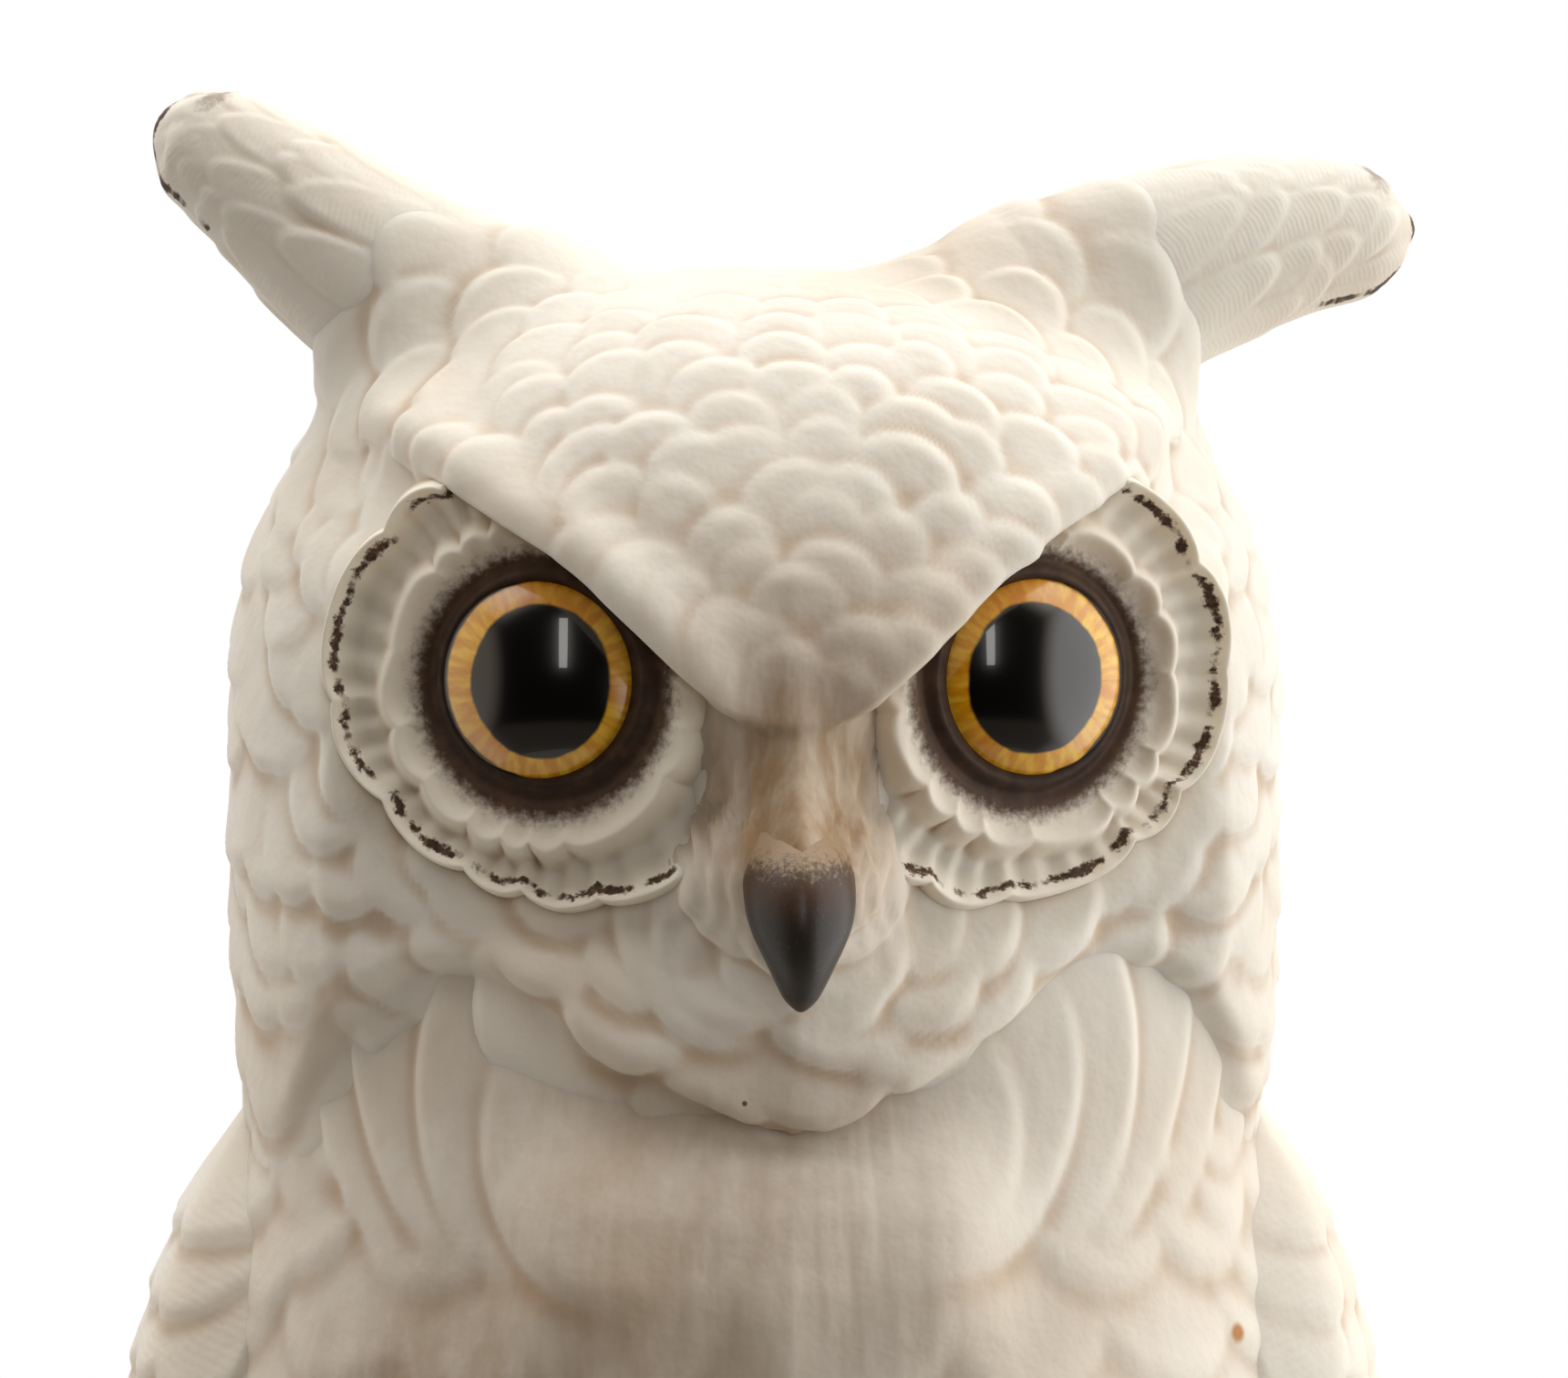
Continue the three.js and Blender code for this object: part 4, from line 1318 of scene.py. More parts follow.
@dataclass
class FacialDisc:
    """A facial disc: lids round the eye, a scalloped ridge, and a pleated band that ends in a thin lobed rim.

    Heights are along the disc's axis, from the plane of the eye's edge.
    """

    shop: Workshop
    frame: HeadFrame
    form: HeadForm
    side: Side
    rows: int = 120
    back_rows: int = 8
    columns: int = 400
    lid: float = 6.3
    ring: float = 8.9
    ridge: float = 9.9
    ridge_lobes: int = 17
    rim_lobes: int = 12
    rim: Rows = ((-180, 15.6), (-135, 14.4), (-100, 14.6), (-70, 15.9), (-35, 16.2), (0, 15.4), (60, 15.2),
                 (130, 15.3), (180, 15.6))
    pleat_mm: float = 2.1
    pleat_radius: float = 13.5
    arc_radius: float = 15.0

    def build(self) -> None:
        """Makes the disc."""
        rng = np.random.default_rng(SEED + 10 + self.side.value)
        turn = np.arange(self.columns) * 2 * math.pi / self.columns
        outward = np.degrees(np.arctan2(np.sin(turn), -self.side.value * np.cos(turn)))
        wobble = self._wobble(turn, rng)
        rim = between(self.rim, outward)[0] + 0.8 * self._lobes(turn, self.rim_lobes, wobble) - 0.5
        down = 0.5 - 0.5 * np.sin(turn)
        ridge = self.ridge + 0.9 * down + 0.65 * self._lobes(turn, self.ridge_lobes, wobble * 1.7)
        share = np.linspace(0.02, 1, self.rows)[:, None]
        radius = share * (rim + 0.35)
        height = self._height(radius, turn, rim, ridge, wobble)
        flat = self._at(radius, turn, np.zeros(radius.shape))
        over = flat[..., 2] - self.form.brow_z(flat[..., 0])
        inward = np.abs(flat[..., 0])
        height = height - 4.5 * smooth_step(0.4, 2.6, over) * (inward < 24) - 2.6 * smooth_step(7.5, 4.5, inward)
        back = np.linspace(1, 0.05, self.back_rows)[:, None]
        points = np.concatenate([self._at(radius, turn, height),
                                 self._at(back * (rim + 0.1), turn, -0.7 - 0.5 * (1 - back))])
        surface = Surface(self.frame.to_row(points))
        hold = np.concatenate([radius, np.broadcast_to(rim, (self.back_rows, len(turn)))])
        surface.channels["ring"] = hold - self.ring - 0.7 * down
        surface.channels["dab"] = np.abs(hold - (rim - 1.0))
        surface.channels["arc"] = np.broadcast_to(turn * self.arc_radius, hold.shape)
        surface.detail(np.concatenate([height, np.zeros((self.back_rows, len(turn)))]))
        name = f"facial_disc_{self.side.word}_plumage"
        # The discs get a paler clay and a weaker painted valley shade: painted light that brightens them where they
        # sit in shade under the brow.
        self.shop.piece(name, surface, Bisque(paint=Paint.RIM, valley_shade_mm=0.5, body="#fbf2e2"), BISQUE_SLOT,
                        [f"facial_disc_{self.side.word}"])

    def _wobble(self, turn: Array, rng: np.random.Generator) -> Array:
        """A slow wander of phase round the disc, so that no two lobes are the same."""
        waves = [rng.uniform(0.3, 0.7) * np.sin(k * turn + rng.uniform(0, 6.3)) for k in (2, 3, 5)]
        return np.sum(waves, axis=0)

    def _lobes(self, turn: Array, count: int, wobble: Array) -> Array:
        """Round lobes with sharp valleys between: |sin(count turn / 2)|^0.7."""
        return np.abs(np.sin(count * turn / 2 + wobble)) ** 0.7

    def _height(self, radius: Array, turn: Array, rim: Array, ridge: Array, wobble: Array) -> Array:
        """Height of the front: lids, dip, ridge, pleats and rim."""
        lids = 0.8 * bell(radius - self.lid - 0.75, 0.7) + 0.3 * bell(radius - self.lid - 2.2, 0.5)
        slope = 0.6 * smooth_step(7.8, 9.8, radius)
        fold = 0.9 * bell(radius - ridge, 0.85) - 0.5 * smooth_step(-0.2, 1.1, radius - ridge)
        band = smooth_step(0.4, 1.5, radius - ridge) * (1 - smooth_step(-1.2, -0.2, radius - rim))
        pleats = np.cos(turn * round(2 * math.pi * self.pleat_radius / self.pleat_mm) + 2.5 * wobble + 0.25 * radius)
        cup = 1.15 * smooth_step(-2.6, -0.3, radius - rim)
        edge = 1.9 * smooth_step(-0.3, 0.4, radius - rim)
        return lids + slope + fold - 0.5 * band + 0.16 * band * pleats + cup - edge

    def _at(self, radius: Array, turn: Array, height: Array) -> Array:
        """Points in the head's frame from polar coordinates on the disc."""
        axis = self.form.axis(self.side)
        right = np.cross(axis, UP)
        radius, turn, height = np.broadcast_arrays(radius, turn, height)
        flat = (radius * np.cos(turn))[..., None] * -right + (radius * np.sin(turn))[..., None] * UP
        return self.form.seats[self.side] + flat + height[..., None] * axis


@dataclass
class Eye:
    """An eye: a shallow dome whose axis turns back towards straight ahead, painted and glazed."""

    shop: Workshop
    frame: HeadFrame
    form: HeadForm
    side: Side
    radius: float = 6.9
    curve: float = 10.0
    turned_back: float = math.radians(8)
    raised: float = 0.15
    rows: int = 60
    columns: int = 160

    def build(self) -> None:
        """Makes the eye."""
        out = self.form.eye_turn - self.turned_back
        axis = np.array([self.side.value * math.sin(out), -math.cos(out), 0.0])
        right = -np.cross(axis, UP)
        turn = np.arange(self.columns) * 2 * math.pi / self.columns
        radius = np.linspace(0.01, 1, self.rows)[:, None] * self.radius
        dome = np.sqrt(self.curve**2 - radius**2) - math.sqrt(self.curve**2 - self.radius**2)
        back = np.array([[0.98], [0.5], [0.03]]) * self.radius
        radii = np.concatenate([radius, back])
        height = np.concatenate([dome, np.full(back.shape, -1.2)]) + self.raised
        radii, turn, height = np.broadcast_arrays(radii, turn, height)
        across, upward = radii * np.cos(turn), radii * np.sin(turn)
        points = (self.form.seats[self.side] + across[..., None] * right + upward[..., None] * UP
                  + height[..., None] * axis)
        surface = Surface(self.frame.to_row(points))
        taller = 0.9 + 0.08 * smooth_step(4.4, 6.3, radii)
        surface.channels["radius"] = np.hypot(across, upward * taller)
        surface.channels["turn"] = turn
        self.shop.piece(f"eye_{self.side.word}_glazed", surface, GlazedEye(), EYE_SLOT, [f"eye_{self.side.word}"])


@dataclass
class Beak:
    """The beak: a hooked cone with a keeled top, painted as horn below the bridge."""

    shop: Workshop
    frame: HeadFrame
    form: Sweep = field(default_factory=lambda: Sweep(
        line=((0, 0, -29, -1), (0.33, 0, -34, -6), (0.66, 0, -37.3, -10.6), (1, 0, -37.1, -16.4)),
        section=((0, 2.0, 1.6), (0.3, 3.3, 2.7), (0.5, 3.7, 3.4), (0.66, 3.4, 3.5), (0.85, 2.0, 2.4), (1, 0.7, 0.9)),
        squareness=1.8, ends=(0.1, 0.07)))
    paint_from: float = -5.9
    paint_length: float = 8.4

    def build(self) -> None:
        """Makes the beak."""
        surface, _, _ = self.form.surface(110, 90)
        surface.channels["along"] = (self.paint_from - surface.points[..., 2]) / self.paint_length
        surface.points = self.frame.to_row(surface.points)
        self.shop.piece("beak_painted", surface, PaintedHorn(clay="#a1886a"), HORN_SLOT, ["beak"])


# ---- Body -----------------------------------------------------------------------------------------------------------


@dataclass
class Torso:
    """The torso: the bib under the beak, the ruff's folds round it, and the breast's broad feathers."""

    shop: Workshop
    rows: int = 200
    columns: int = 470
    low: float = 42.0
    high: float = 150.0
    squareness: float = 2.1
    girth: Rows = ((42, 8, 6, 3), (44, 14.4, 12.4, 3), (50, 27.4, 24.4, 3), (58, 34.9, 31.4, 2.5), (72, 40.4, 36.9, 2),
                   (88, 42.9, 39.4, 1.5), (104, 41.9, 38.4, 1.5), (118, 38.4, 35.4, 2), (126, 36.4, 33.4, 2),
                   (134, 35.3, 30.6, 2), (142, 35.4, 29.0, 2), (150, 34.5, 27.5, 2))
    folds_right: Rows = ((37.0, 142, 30, 1.5), (34.8, 142, 31, 1.6), (31.6, 141, 31, 1.7), (27.8, 140, 30, 1.9),
                         (23.2, 137.5, 27, 1.9), (18.6, 134.5, 23, 1.8))
    folds_left: Rows = ((36.6, 142, 29, 1.3), (34.2, 141.5, 30, 1.4), (30.8, 140.5, 30, 1.4), (27.0, 139.5, 28, 1.5),
                        (22.8, 137.5, 25, 1.4), (19.0, 135, 21, 1.2))

    def build(self) -> None:
        """Makes the torso."""
        turn = dense_angles(self.columns, -math.pi / 2, 2.0, math.radians(78))
        even = np.linspace(0, 1, self.rows)[:, None]
        z = self.low + (self.high - self.low) * (0.82 * even + 0.18 * even**2)
        surface = Surface(ring(self.girth, self.squareness, z, turn))
        self._bib(surface)
        Relief(soft=1.3, rise=1.5, camber=0.3, shoulder=0.3, bead=0.12, depth=2.5).stamp(surface, self._feathers(), 3)
        self._hair(surface)
        # Brown wash and painted shade on the breast, and painted shade in its grooves.
        surface.channels["stain"] = self._stain(surface)
        self.shop.piece("torso_shell_plumage", surface, Bisque(paint=Paint.WASH), BISQUE_SLOT, ["torso_shell"])

    def _at(self, turn: Array, z: Array) -> Array:
        """Points of the bare surface, with the turn in radians from the front towards the owl's left."""
        turn, z = np.broadcast_arrays(turn, z)
        return ring(self.girth, self.squareness, z, turn - math.pi / 2)

    def _bib(self, surface: Surface) -> None:
        """A smooth swelling under the chin, 33 mm wide."""
        x, y, z = np.moveaxis(surface.points, -1, 0)
        wide = 1 - smooth_step(11.0, 19.0, np.abs(x - 0.5))
        tall = smooth_step(116.0, 125.0, z) * (1 - smooth_step(128.0, 137.0, z))
        surface.raised(2.6 * wide * tall * (y < 0))

    def _stain(self, surface: Surface) -> Array:
        """Brown wash under the chin, fading down the breast, partly painted shade; and painted shade at the lower left
        of the breast.
        """
        x, y, z = np.moveaxis(surface.points, -1, 0)
        # Partly brown wash and partly painted shade under the chin, fading downwards.
        bib = 0.55 * bell(x + 4.0, 17.0) * smooth_step(78.0, 122.0, z)
        # Painted shade at the lower left of the breast.
        beside = 0.7 * bell(x + 22.0, 11.0) * bell(z - 113.0, 11.0)
        return np.clip(bib + beside, 0, 0.85) * (y < 0)

    def _hair(self, surface: Surface) -> None:
        """Brushed streaks down the bib, 0.8 to 3 mm apart and about 0.1 mm deep, over two or three soft drapes."""
        rng = np.random.default_rng(SEED + 21)
        x, y, z = np.moveaxis(surface.points, -1, 0)
        fan = x / (1 + (140 - z) * 0.012)
        waves = []
        for pace in rng.uniform(2.2, 7.5, 7):
            bend = rng.uniform(0.8, 2.0) * np.sin(z * rng.uniform(0.1, 0.3) + rng.uniform(0, 6.3))
            waves.append(np.sin(fan * pace + bend + rng.uniform(0, 6.3)) * rng.uniform(0.4, 1.0))
        inside = (1 - smooth_step(9.0, 15.0, np.abs(x - 0.5))) * (y < 0)
        drape = np.sin(x * 0.42 + 0.8) + 0.6 * np.sin(x * 0.71 - 0.15 * z)
        low = bell(z - 121.0, 6.5) * (1 - smooth_step(12.0, 19.0, np.abs(x))) * (y < 0)
        surface.raised(0.022 * np.sum(waves, axis=0) * inside * bell(z - 127, 10.0) + 0.25 * drape * low)

    def _folds(self, rows: Rows, side: Side) -> Feathers:
        """The ruff on one side: tall crescents that grow outwards from under the chin."""
        edge, z, tall, lift = np.array(rows, float).T
        long = 12.0
        tip = np.arcsin(np.clip(edge / 39.0, 0, 0.97))
        root = tip - long / 36.0
        sway = np.radians(-14 + 9 * np.sin(np.arange(len(edge)) * 2.3 + side.value))
        return Feathers.laid(lambda u, v: self._at(side.value * u, v), root, z, length=long, width=tall,
                             lift=0.82 * lift, turn=sway)

    def _feathers(self) -> Feathers:
        """The breast's scallops, which grow larger downwards, the back's rows, and the ruff."""
        rng = np.random.default_rng(SEED + 20)
        down, turn = staggered(np.arange(-140.0, -42.0, 6.4), -math.pi, math.pi, 0.33, rng, 0.08)
        size = np.interp(down, [-140, -100, -50], [0.8, 1.05, 0.9])
        turn = turn + rng.normal(0, 0.02, len(turn))
        breast = Feathers.laid(lambda u, v: self._at(v, -u), down, turn, length=13.0 * size, width=17.5 * size,
                               lift=np.interp(down, [-128, -100, -80],
                                              [0.85, 1.25, 1.6]) * rng.uniform(0.75, 1.15, len(down)))
        bare = (breast.root[:, 1] < 0) & (np.abs(breast.root[:, 0]) < 17) & (breast.root[:, 2] > 129)
        breast = breast.kept(~bare)
        high, around = staggered(np.array([-148.0, -142.0, -136.0, -130.5]), math.radians(62), math.radians(298), 0.21,
                                 rng, 0.08)
        nape = Feathers.laid(lambda u, v: self._at(v, -u), high, around, length=11.0, width=10.5, lift=1.1)
        return Feathers.joined([breast, nape, self._folds(self.folds_right, Side.RIGHT),
                                self._folds(self.folds_left, Side.LEFT)])


@dataclass
class Wing:
    """A folded wing: a curved shell, with rows of short coverts on the shoulder and long flight feathers below.

    Chord rows are (t, middle, half), in degrees from the owl's side towards its back, from the shoulder to the tip.
    """

    shop: Workshop
    side: Side
    rows: int = 210
    columns: int = 300
    top: float = 134.0
    tip: float = 43.6
    thickness: float = 5.6
    tuck: float = 3.0
    squareness: float = 2.1
    hull: Rows = ((40, 29, 38, 9), (50, 36.2, 40.6, 7), (65, 42.5, 42.6, 5), (82, 45.7, 43.9, 3), (100, 45.5, 42.7, 2),
                  (115, 43.5, 40.2, 2), (127, 39.4, 36.4, 2), (137, 33.5, 31, 2))
    chord: Rows = ((0, -4, 4), (0.12, -1, 25), (0.3, 4, 35), (0.5, 12, 38), (0.7, 24, 33), (0.88, 39, 20), (1, 50, 4))

    def build(self) -> None:
        """Makes the wing."""
        t = np.linspace(0, 1, self.rows)[:, None]
        angle = np.arange(self.columns) * 2 * math.pi / self.columns
        middle, half = between(self.chord, t)
        degrees = middle + half * signed_power(np.cos(angle), 0.8)
        through = signed_power(np.sin(angle), 0.75)
        front = smooth_step(0.45, 1.0, -np.cos(angle)) * (1 - smooth_step(0.45, 0.75, t))
        grow = self.thickness / 2 * (through - 1) - self.tuck * front
        surface = Surface(self._hull(t, np.radians(degrees), grow))
        Relief(soft=0.7, rise=1.2, camber=0.2, shoulder=0.45, bead=0.15, depth=1.8,
               tilt=0.3).stamp(surface, self._feathers(), 2)
        name = f"wing_{self.side.word}_plumage"
        self.shop.piece(name, surface, Bisque(barb_mm=0.7, barb_depth=0.005), BISQUE_SLOT, [f"wing_{self.side.word}"])

    def _hull(self, t: Array, back: Array, grow: Array | float) -> Array:
        """Points of the hull at t down the wing and an angle towards the back."""
        t, back, grow = np.broadcast_arrays(t, back, grow)
        z = self.top + (self.tip - self.top) * t
        points = ring(self.hull, self.squareness, z, back, grow)
        return points * np.array([self.side.value, 1, 1])

    def _feathers(self) -> Feathers:
        """Three zones of coverts, then the flight feathers, whose growth swings towards the tail."""
        rng = np.random.default_rng(SEED + 30 + self.side.value)
        groups = []
        zones = ((0.02, 0.34, 0.05, 7.2, 9.5, 1.05), (0.36, 0.5, 0.075, 8.6, 14.0, 1.6))
        for first, last, step, wide, long, lift in zones:
            t, back = staggered(np.arange(first, last, step), math.radians(-40), math.radians(62),
                                wide * 0.86 / 44.0, rng, 0.07)
            middle, half = (np.radians(v) for v in between(self.chord, t + 0.05))
            inside = np.abs(back - middle) < half * 1.05
            groups.append(Feathers.laid(self._hull_place, t, back, length=long, width=wide * 1.25, lift=lift,
                                        turn=0.25).kept(inside))
        share = np.linspace(-0.92, 0.92, 9)
        tiers = ((0.46, 0.8, 9.4, 2.1), (0.6, 0.985, 8.6, 1.9))
        for first, last, wide, lift in tiers:
            ends = []
            for t in (np.full(share.shape, first), last - 0.05 * (share - 0.3) ** 2):
                middle, half = (np.radians(v) for v in between(self.chord, t))
                ends.append((t, middle + half * share))
            groups.append(Feathers.spanning(self._hull_place, ends[0], ends[1], wide, lift - 0.12 * share))
        return Feathers.joined(groups)

    def _hull_place(self, t: Array, back: Array) -> Array:
        """The outer face of the wing."""
        return self._hull(t, back, 0.0)


@dataclass
class Limbs:
    """The tail, and the feathered legs with their toes and claws."""

    shop: Workshop
    toe_reach: tuple[float, float, float] = (19.5, 20.5, 19.0)
    toe_turn: tuple[float, float, float] = (26.0, 2.0, -22.0)
    ankle: tuple[float, float, float] = (15.5, -15.5, 40.0)

    def build(self) -> None:
        """Makes the tail, and both legs, feet and sets of claws."""
        self._tail()
        for side in Side:
            self._leg(side)
            self._foot(side)

    def _tail(self) -> None:
        """The tail: seven long feathers, the middle one on top."""
        form = Sweep(line=((0, 0, 27, 82), (0.4, 0, 38, 60), (0.75, 0, 42.7, 38), (1, 0, 45.5, 13.4)),
                     section=((0, 9, 2), (0.3, 16.6, 3.8), (0.7, 19, 2.8), (0.92, 17.2, 1.9), (1, 13, 1.2)),
                     squareness=2.6, ends=(0.03, 0.05))
        surface, _, _ = form.surface(220, 200)
        groups = []
        for k in range(7):
            share = (k - 3) / 3
            lift = 1.0 - 0.22 * abs(share)
            for back in (math.pi / 2, -math.pi / 2):
                sign = 1.0 if back > 0 else -1.0
                angle = np.array([back - sign * share * 0.72])
                groups.append(Feathers.laid(form.place, np.array([0.3 - 0.02 * abs(k - 3)]), angle,
                                            length=49.0 - 3 * abs(share), width=8.0, lift=lift))
                groups.append(Feathers.laid(form.place, np.array([0.02]), angle, length=24.0, width=9.5,
                                            lift=lift * 0.8))
        Relief(soft=0.6, camber=0.25, shoulder=0.8, depth=0.8, rise=0.7,
               tilt=0.25).stamp(surface, Feathers.joined(groups))
        self.shop.piece("tail_plumage", surface, Bisque(barb_mm=0.7, barb_depth=0.005), BISQUE_SLOT, ["tail"])

    def _leg(self, side: Side) -> None:
        """A thigh in small hair-like feathers."""
        s = side.value
        form = Sweep(line=((0, s * 16.5, -8, 62), (0.5, s * 16, -12, 50), (1, s * 15.5, -14.5, 38)),
                     section=((0, 9, 9), (0.35, 13.4, 12.4), (0.75, 12, 10.5), (1, 8.8, 7.8)), ends=(0.12, 0.12))
        surface, _, _ = form.surface(120, 180)
        rng = np.random.default_rng(SEED + 40 + s)
        t, angle = staggered(np.arange(0.0, 0.95, 0.11), 0.0, 2 * math.pi, 0.36, rng, 0.12)
        feathers = Feathers.laid(form.place, t, angle, length=7.5, width=4.8, lift=0.6)
        Relief(soft=0.5).stamp(surface, feathers)
        self.shop.piece(f"leg_{side.word}_plumage", surface, Bisque(), BISQUE_SLOT, [f"leg_{side.word}"])

    def _foot(self, side: Side) -> None:
        """Three toes with a scute every 2 mm, and a painted claw at the end of each."""
        ankle = np.array(self.ankle) * np.array([side.value, 1, 1])
        for name, reach, degrees in zip(("outer", "middle", "inner"), self.toe_reach, self.toe_turn):
            turn = math.radians(degrees) * side.value
            way = np.array([math.sin(turn), -math.cos(turn), 0.0])
            across = (math.cos(turn), math.sin(turn), 0.0)
            heights = ((0, 40.0), (0.45, 41.5), (0.85, 39.5), (1, 35.5))
            line = [(t, *(ankle[:2] + way[:2] * reach * t), z) for t, z in heights]
            toe = Sweep(line=line, section=((0, 4.5, 3.9), (0.5, 3.8, 3.4), (0.8, 3.9, 3.5), (1, 2.6, 2.2)),
                        across=across, ends=(0.12, 0.12))
            surface, t, angle = toe.surface(110, 72)
            over = smooth_step(-0.2, 0.5, -np.sin(angle))
            over = np.maximum(over, smooth_step(-0.2, 0.5, np.sin(angle)) * 0.4)
            scute = np.abs(np.sin(t * reach * math.pi / 2.1)) ** 0.6 - 1
            relief = 0.3 * scute * over * smooth_step(0.1, 0.3, t)
            surface.raised(relief)
            surface.detail(relief)
            replaced = [f"foot_{side.word}"] if name == "middle" else []
            self.shop.piece(f"toe_{side.word}_{name}", surface, Bisque(), BISQUE_SLOT, replaced)
            self._claw(side, name, ankle, way, reach, across)

    def _claw(self, side: Side, name: str, ankle: Array, way: Array, reach: float,
              across: tuple[float, float, float]) -> None:
        """A claw that curves over and down from the toe's end."""
        places = ((0, reach - 0.9, 38.4), (0.35, reach + 1.7, 37.4), (0.7, reach + 3.0, 33.6), (1, reach + 3.2, 28.6))
        line = [(t, *(ankle[:2] + way[:2] * out), z) for t, out, z in places]
        form = Sweep(line=line, section=((0, 2.1, 2.3), (0.5, 1.8, 2.0), (0.85, 1.0, 1.1), (1, 0.4, 0.4)),
                     across=across, ends=(0.15, 0.05))
        surface, t, _ = form.surface(60, 48)
        surface.channels["along"] = t * 1.1 + 0.1
        self.shop.piece(f"claw_{side.word}_{name}_painted", surface, PaintedHorn(), HORN_SLOT,
                        [f"claw_{side.word}_{name}"])


@dataclass
class Stump:
    """The stump: a trunk with furrowed bark, a sawn top with rings, and a branch stub."""

    shop: Workshop
    rows: Rows = ((0, 36.9, 35.9, 0), (3, 36.2, 35.2, 0), (12, 33.2, 32.6, 0), (26, 31.8, 31.2, 0), (33, 31.6, 31, 0),
                  (35.6, 30.6, 30, 0))
    top: float = 35.7
    columns: int = 520
    side_rows: int = 120
    top_rows: int = 44

    def build(self) -> None:
        """Makes the trunk and the stub."""
        turn = np.arange(self.columns) * 2 * math.pi / self.columns
        z = np.linspace(0.02, 35.6, self.side_rows)[:, None]
        side = ring(self.rows, 2.0, z, turn)
        side = side * self._bark(turn, z)[..., None] ** np.array([1, 1, 0])
        inner = np.linspace(0.985, 0.02, self.top_rows)[:, None]
        reach = side[-1][None, :, :2] * inner[..., None]
        wander = 1.2 * np.sin(3 * turn + 0.7) * inner
        rings = 0.16 * np.cos(2 * math.pi * (inner * 30 + wander) / 3.1)
        lip = -0.8 * smooth_step(0.93, 1.0, inner)
        height = self.top - 0.35 + rings + lip
        top = np.concatenate([reach, np.broadcast_to(height, inner.shape[:1] + turn.shape)[..., None]], axis=-1)
        floor = side[0][None] * np.array([1, 1, 0]) * np.array([0.3, 0.98])[:, None, None]
        surface = Surface(np.concatenate([floor, side, top]))
        bark = np.concatenate([np.zeros((2, self.columns)), self._bark(turn, z) * 34,
                               np.full((self.top_rows, self.columns), 34.0)])
        surface.detail(bark)
        self.shop.piece("stump_shell_bark", surface, Bisque(), BISQUE_SLOT, ["stump_shell"])
        stub = Sweep(line=((0, 24, -9, 15), (0.5, 33, -12.5, 18), (1, 42, -15.5, 22)),
                     section=((0, 8, 8), (0.5, 7, 7), (1, 5.7, 5.7)), across=(0.0, 1.0, 0.0), squareness=2.3,
                     ends=(0.1, 0.05))
        surface, t, angle = stub.surface(80, 160)
        relief = 0.35 * np.sin(9 * angle + 3 * np.sin(3 * t)) * (1 - smooth_step(0.85, 0.95, t))
        surface.raised(relief)
        surface.detail(relief)
        self.shop.piece("stump_stub_bark", surface, Bisque(), BISQUE_SLOT, [])

    def _bark(self, turn: Array, z: Array) -> Array:
        """Radius factor: the trunk's flutes, with furrows that split and join on the way up."""
        flutes = 1 + 0.018 * np.cos(9 * turn + 0.6) + 0.012 * np.cos(17 * turn + 1.9)
        bend = 0.35 * np.sin(z * 0.16 + 2 * turn) + 0.2 * np.sin(z * 0.33 + 5 * turn)
        furrow = np.abs(np.sin(22 * turn + 3.2 * bend)) ** 0.5
        cross = bell(np.sin(z * 0.42 + 2.5 * np.sin(11 * turn)), 0.18)
        depth = smooth_step(0.0, 2.5, z) * (1 - smooth_step(34.6, 35.6, z))
        return flutes - 0.006 - depth * (0.026 * (1 - furrow) + 0.006 * cross)


# ---- Studio ---------------------------------------------------------------------------------------------------------


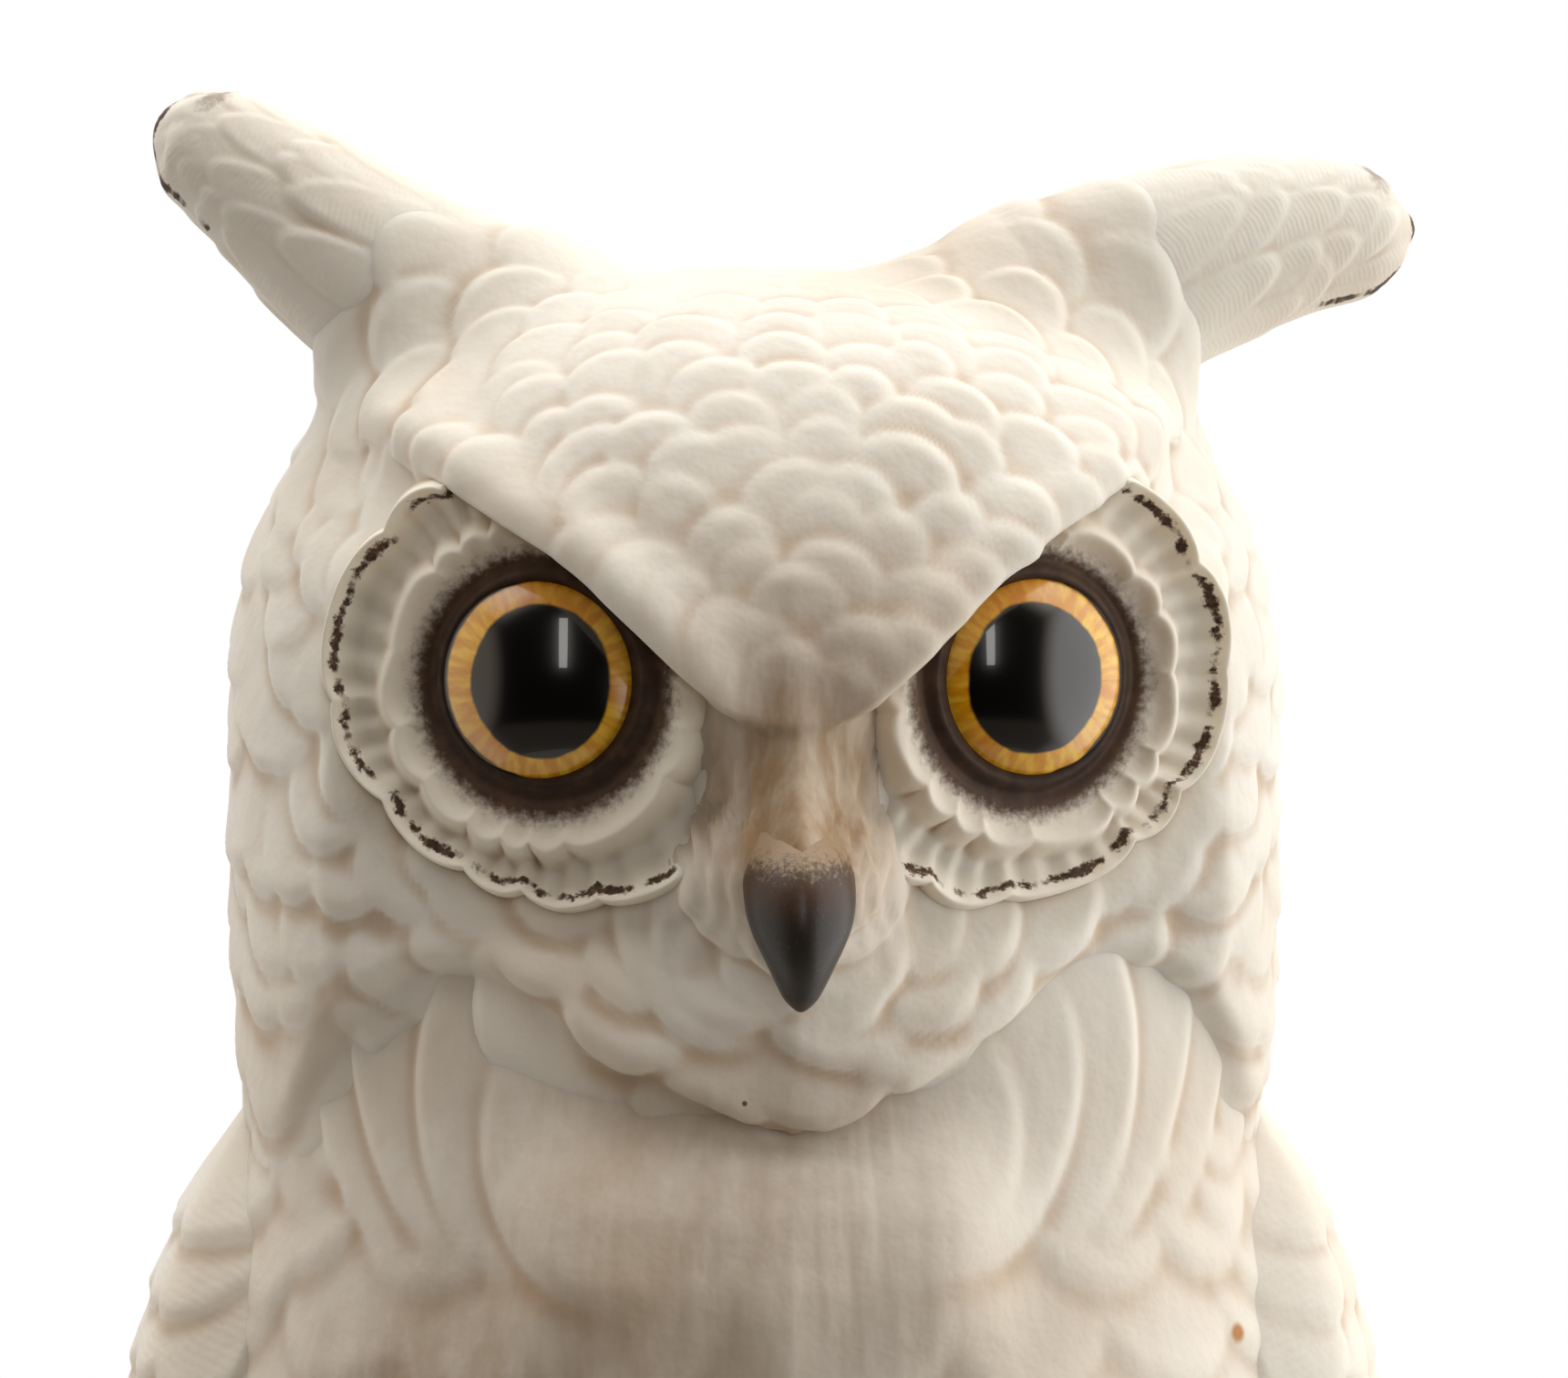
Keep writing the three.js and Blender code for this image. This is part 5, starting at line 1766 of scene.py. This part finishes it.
@dataclass
class Studio:
    """A white surround that wraps round from behind, a dim front, a strip light above the lens, and the camera."""

    white: tuple[float, float, float, float] = (1.0, 0.985, 0.96, 1.0)
    warm: tuple[float, float, float, float] = (1.0, 0.84, 0.68, 1.0)
    front: float = 0.008
    back: float = 0.8
    left: float = 0.75
    right: float = 1.8
    above: float = 2.35
    below: float = 0.14
    camera_distance: float = 0.45
    aim: tuple[float, float, float] = (0.0022, -0.002, 0.1625)
    climb: float = math.radians(4.0)
    lens: float = 147.0
    strip_size: tuple[float, float] = (0.075, 0.46)
    strip_energy: float = 0.5
    strip_place: tuple[float, float, float] = (0.004, -0.6, 0.46)
    strip_target: tuple[float, float, float] = (0.0, -0.03, 0.165)
    table_radius: float = 0.13
    table_tone: str = "#9c9892"

    def build(self) -> None:
        """Makes the world, the lights, the table and the camera."""
        self._world()
        self._strip()
        self._table()
        self._camera()
        scene = bpy.context.scene
        scene.view_settings.view_transform = "Standard"
        scene.view_settings.look = "None"
        scene.render.film_transparent = False

    def _world(self) -> None:
        """White behind, above, below and at the sides, and dark round the lens. The camera itself sees white."""
        world = bpy.data.worlds.new("white sweep")
        bpy.context.scene.world = world
        world.use_nodes = True
        tree = world.node_tree
        tree.nodes.clear()
        way = add_node(tree, "ShaderNodeTexCoord").outputs["Generated"]
        parts = add_node(tree, "ShaderNodeSeparateXYZ", links={0: way})
        x, y, z = parts.outputs[0], parts.outputs[1], parts.outputs[2]
        over = times(tree, stepped(tree, z, 0.5, 0.8), stepped(tree, y, -0.55, -0.2))
        zones = ((stepped(tree, y, -0.4, -0.1), self.back), (over, self.above),
                 (stepped(tree, x, 0.58, 0.8), self.right), (stepped(tree, x, -0.68, -0.86), self.left),
                 (stepped(tree, z, -0.52, -0.62), self.below))
        strength = times(tree, zones[0][0], zones[0][1])
        for zone, power in zones[1:]:
            strength = joined(tree, "MAXIMUM", strength, times(tree, zone, power))
        strength = plus(tree, strength, self.front)
        clean = joined(tree, "MAXIMUM", joined(tree, "MAXIMUM", zones[0][0], over), zones[2][0])
        tone = add_node(tree, "ShaderNodeMix", {"data_type": "RGBA", 6: self.warm, 7: self.white}, {0: clean})
        light = add_node(tree, "ShaderNodeBackground", {}, {0: tone.outputs[2], 1: strength})
        seen = add_node(tree, "ShaderNodeBackground", {0: (1.0, 1.0, 1.0, 1.0), 1: 1.0})
        path = add_node(tree, "ShaderNodeLightPath")
        pick = add_node(tree, "ShaderNodeMixShader", {}, {0: path.outputs["Is Camera Ray"], 1: light.outputs[0],
                                                          2: seen.outputs[0]})
        add_node(tree, "ShaderNodeOutputWorld", links={"Surface": pick.outputs[0]})

    def _strip(self) -> None:
        """A slim soft box above the lens, which makes the upright glint in both eyes."""
        lamp = bpy.data.lights.new("strip", "AREA")
        lamp.shape = "RECTANGLE"
        lamp.size, lamp.size_y = self.strip_size
        lamp.energy = self.strip_energy
        lamp.color = (1.0, 0.97, 0.93)
        holder = bpy.data.objects.new("strip", lamp)
        holder.location = self.strip_place
        aim_at(holder, np.array(self.strip_target) - self.strip_place)
        holder.visible_camera = False
        bpy.context.scene.collection.objects.link(holder)

    def _table(self) -> None:
        """A pale grey disc under the stump, which throws a little light up at the owl."""
        work = bmesh.new()
        bmesh.ops.create_circle(work, cap_ends=True, segments=96, radius=self.table_radius)
        bmesh.ops.translate(work, verts=work.verts, vec=(0, 0, -0.0005))
        mesh = bpy.data.meshes.new("table")
        work.to_mesh(mesh)
        work.free()
        table = bpy.data.objects.new("table", mesh)
        paper = bpy.data.materials.new("white paper")
        paper.use_nodes = True
        shader = paper.node_tree.nodes["Principled BSDF"]
        shader.inputs["Base Color"].default_value = linear(self.table_tone)
        shader.inputs["Roughness"].default_value = 0.8
        mesh.materials.append(paper)
        bpy.context.scene.collection.objects.link(table)

    def _camera(self) -> None:
        """The lens looks a little down at the face."""
        lens = bpy.data.cameras.new("camera")
        lens.lens, lens.sensor_width = self.lens, 36.0
        lens.clip_start = 0.01
        camera = bpy.data.objects.new("camera", lens)
        back = np.array([0.0, -math.cos(self.climb), math.sin(self.climb)])
        camera.location = np.array(self.aim) + back * self.camera_distance
        aim_at(camera, -back)
        bpy.context.scene.collection.objects.link(camera)
        bpy.context.scene.camera = camera


def aim_at(thing: bpy.types.Object, way: Array) -> None:
    """Turns a camera or a lamp to look along a direction, with its top towards +Z."""
    thing.rotation_euler = Vector(way).to_track_quat("-Z", "Y").to_euler()


# ---- The whole ------------------------------------------------------------------------------------------------------


def ear_forms() -> dict[Side, EarForm]:
    """The two ears. The owl's right ear stands higher."""
    right = EarForm(line=((0, -19, -4, 27), (0.33, -27, -3.5, 32), (0.7, -35, -2, 38.2), (1, -41.6, 0.5, 42.6)),
                    section=((0, 6, 8.4), (0.3, 5.8, 6.9), (0.65, 4.2, 5.1), (0.9, 2.8, 3.7), (1, 2.0, 2.8)),
                    across=(0, -1, 0), ends=(0.02, 0.13))
    left = EarForm(line=((0, 19, -3, 27.5), (0.33, 28, -2, 31.5), (0.66, 37.5, 0.5, 34), (1, 48.0, 4, 34.9)),
                   section=((0, 6, 8.4), (0.35, 5.6, 7.0), (0.7, 4.2, 5.4), (0.9, 2.8, 3.9), (1, 1.6, 2.1)),
                   across=(0, 1, 0), ends=(0.02, 0.15))
    return {Side.RIGHT: right, Side.LEFT: left}


def main() -> None:
    """Loads the frame and makes every sub-assembly."""
    logging.basicConfig(level=logging.INFO, format="%(name)s: %(message)s")
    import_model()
    shop = Workshop()
    frame = HeadFrame()
    seats = {side: np.array([side.value, 1, 1]) * EYE_SEAT for side in Side}
    form = HeadForm(ears=ear_forms(), seats=seats)
    Stump(shop).build()
    Limbs(shop).build()
    Torso(shop).build()
    Head(shop, frame, form).build()
    Beak(shop, frame).build()
    for side in Side:
        Wing(shop, side).build()
        Ear(shop, frame, form.ears[side], side).build()
        FacialDisc(shop, frame, form, side).build()
        Eye(shop, frame, form, side).build()
    Studio().build()


if __name__ == "__main__":
    main()
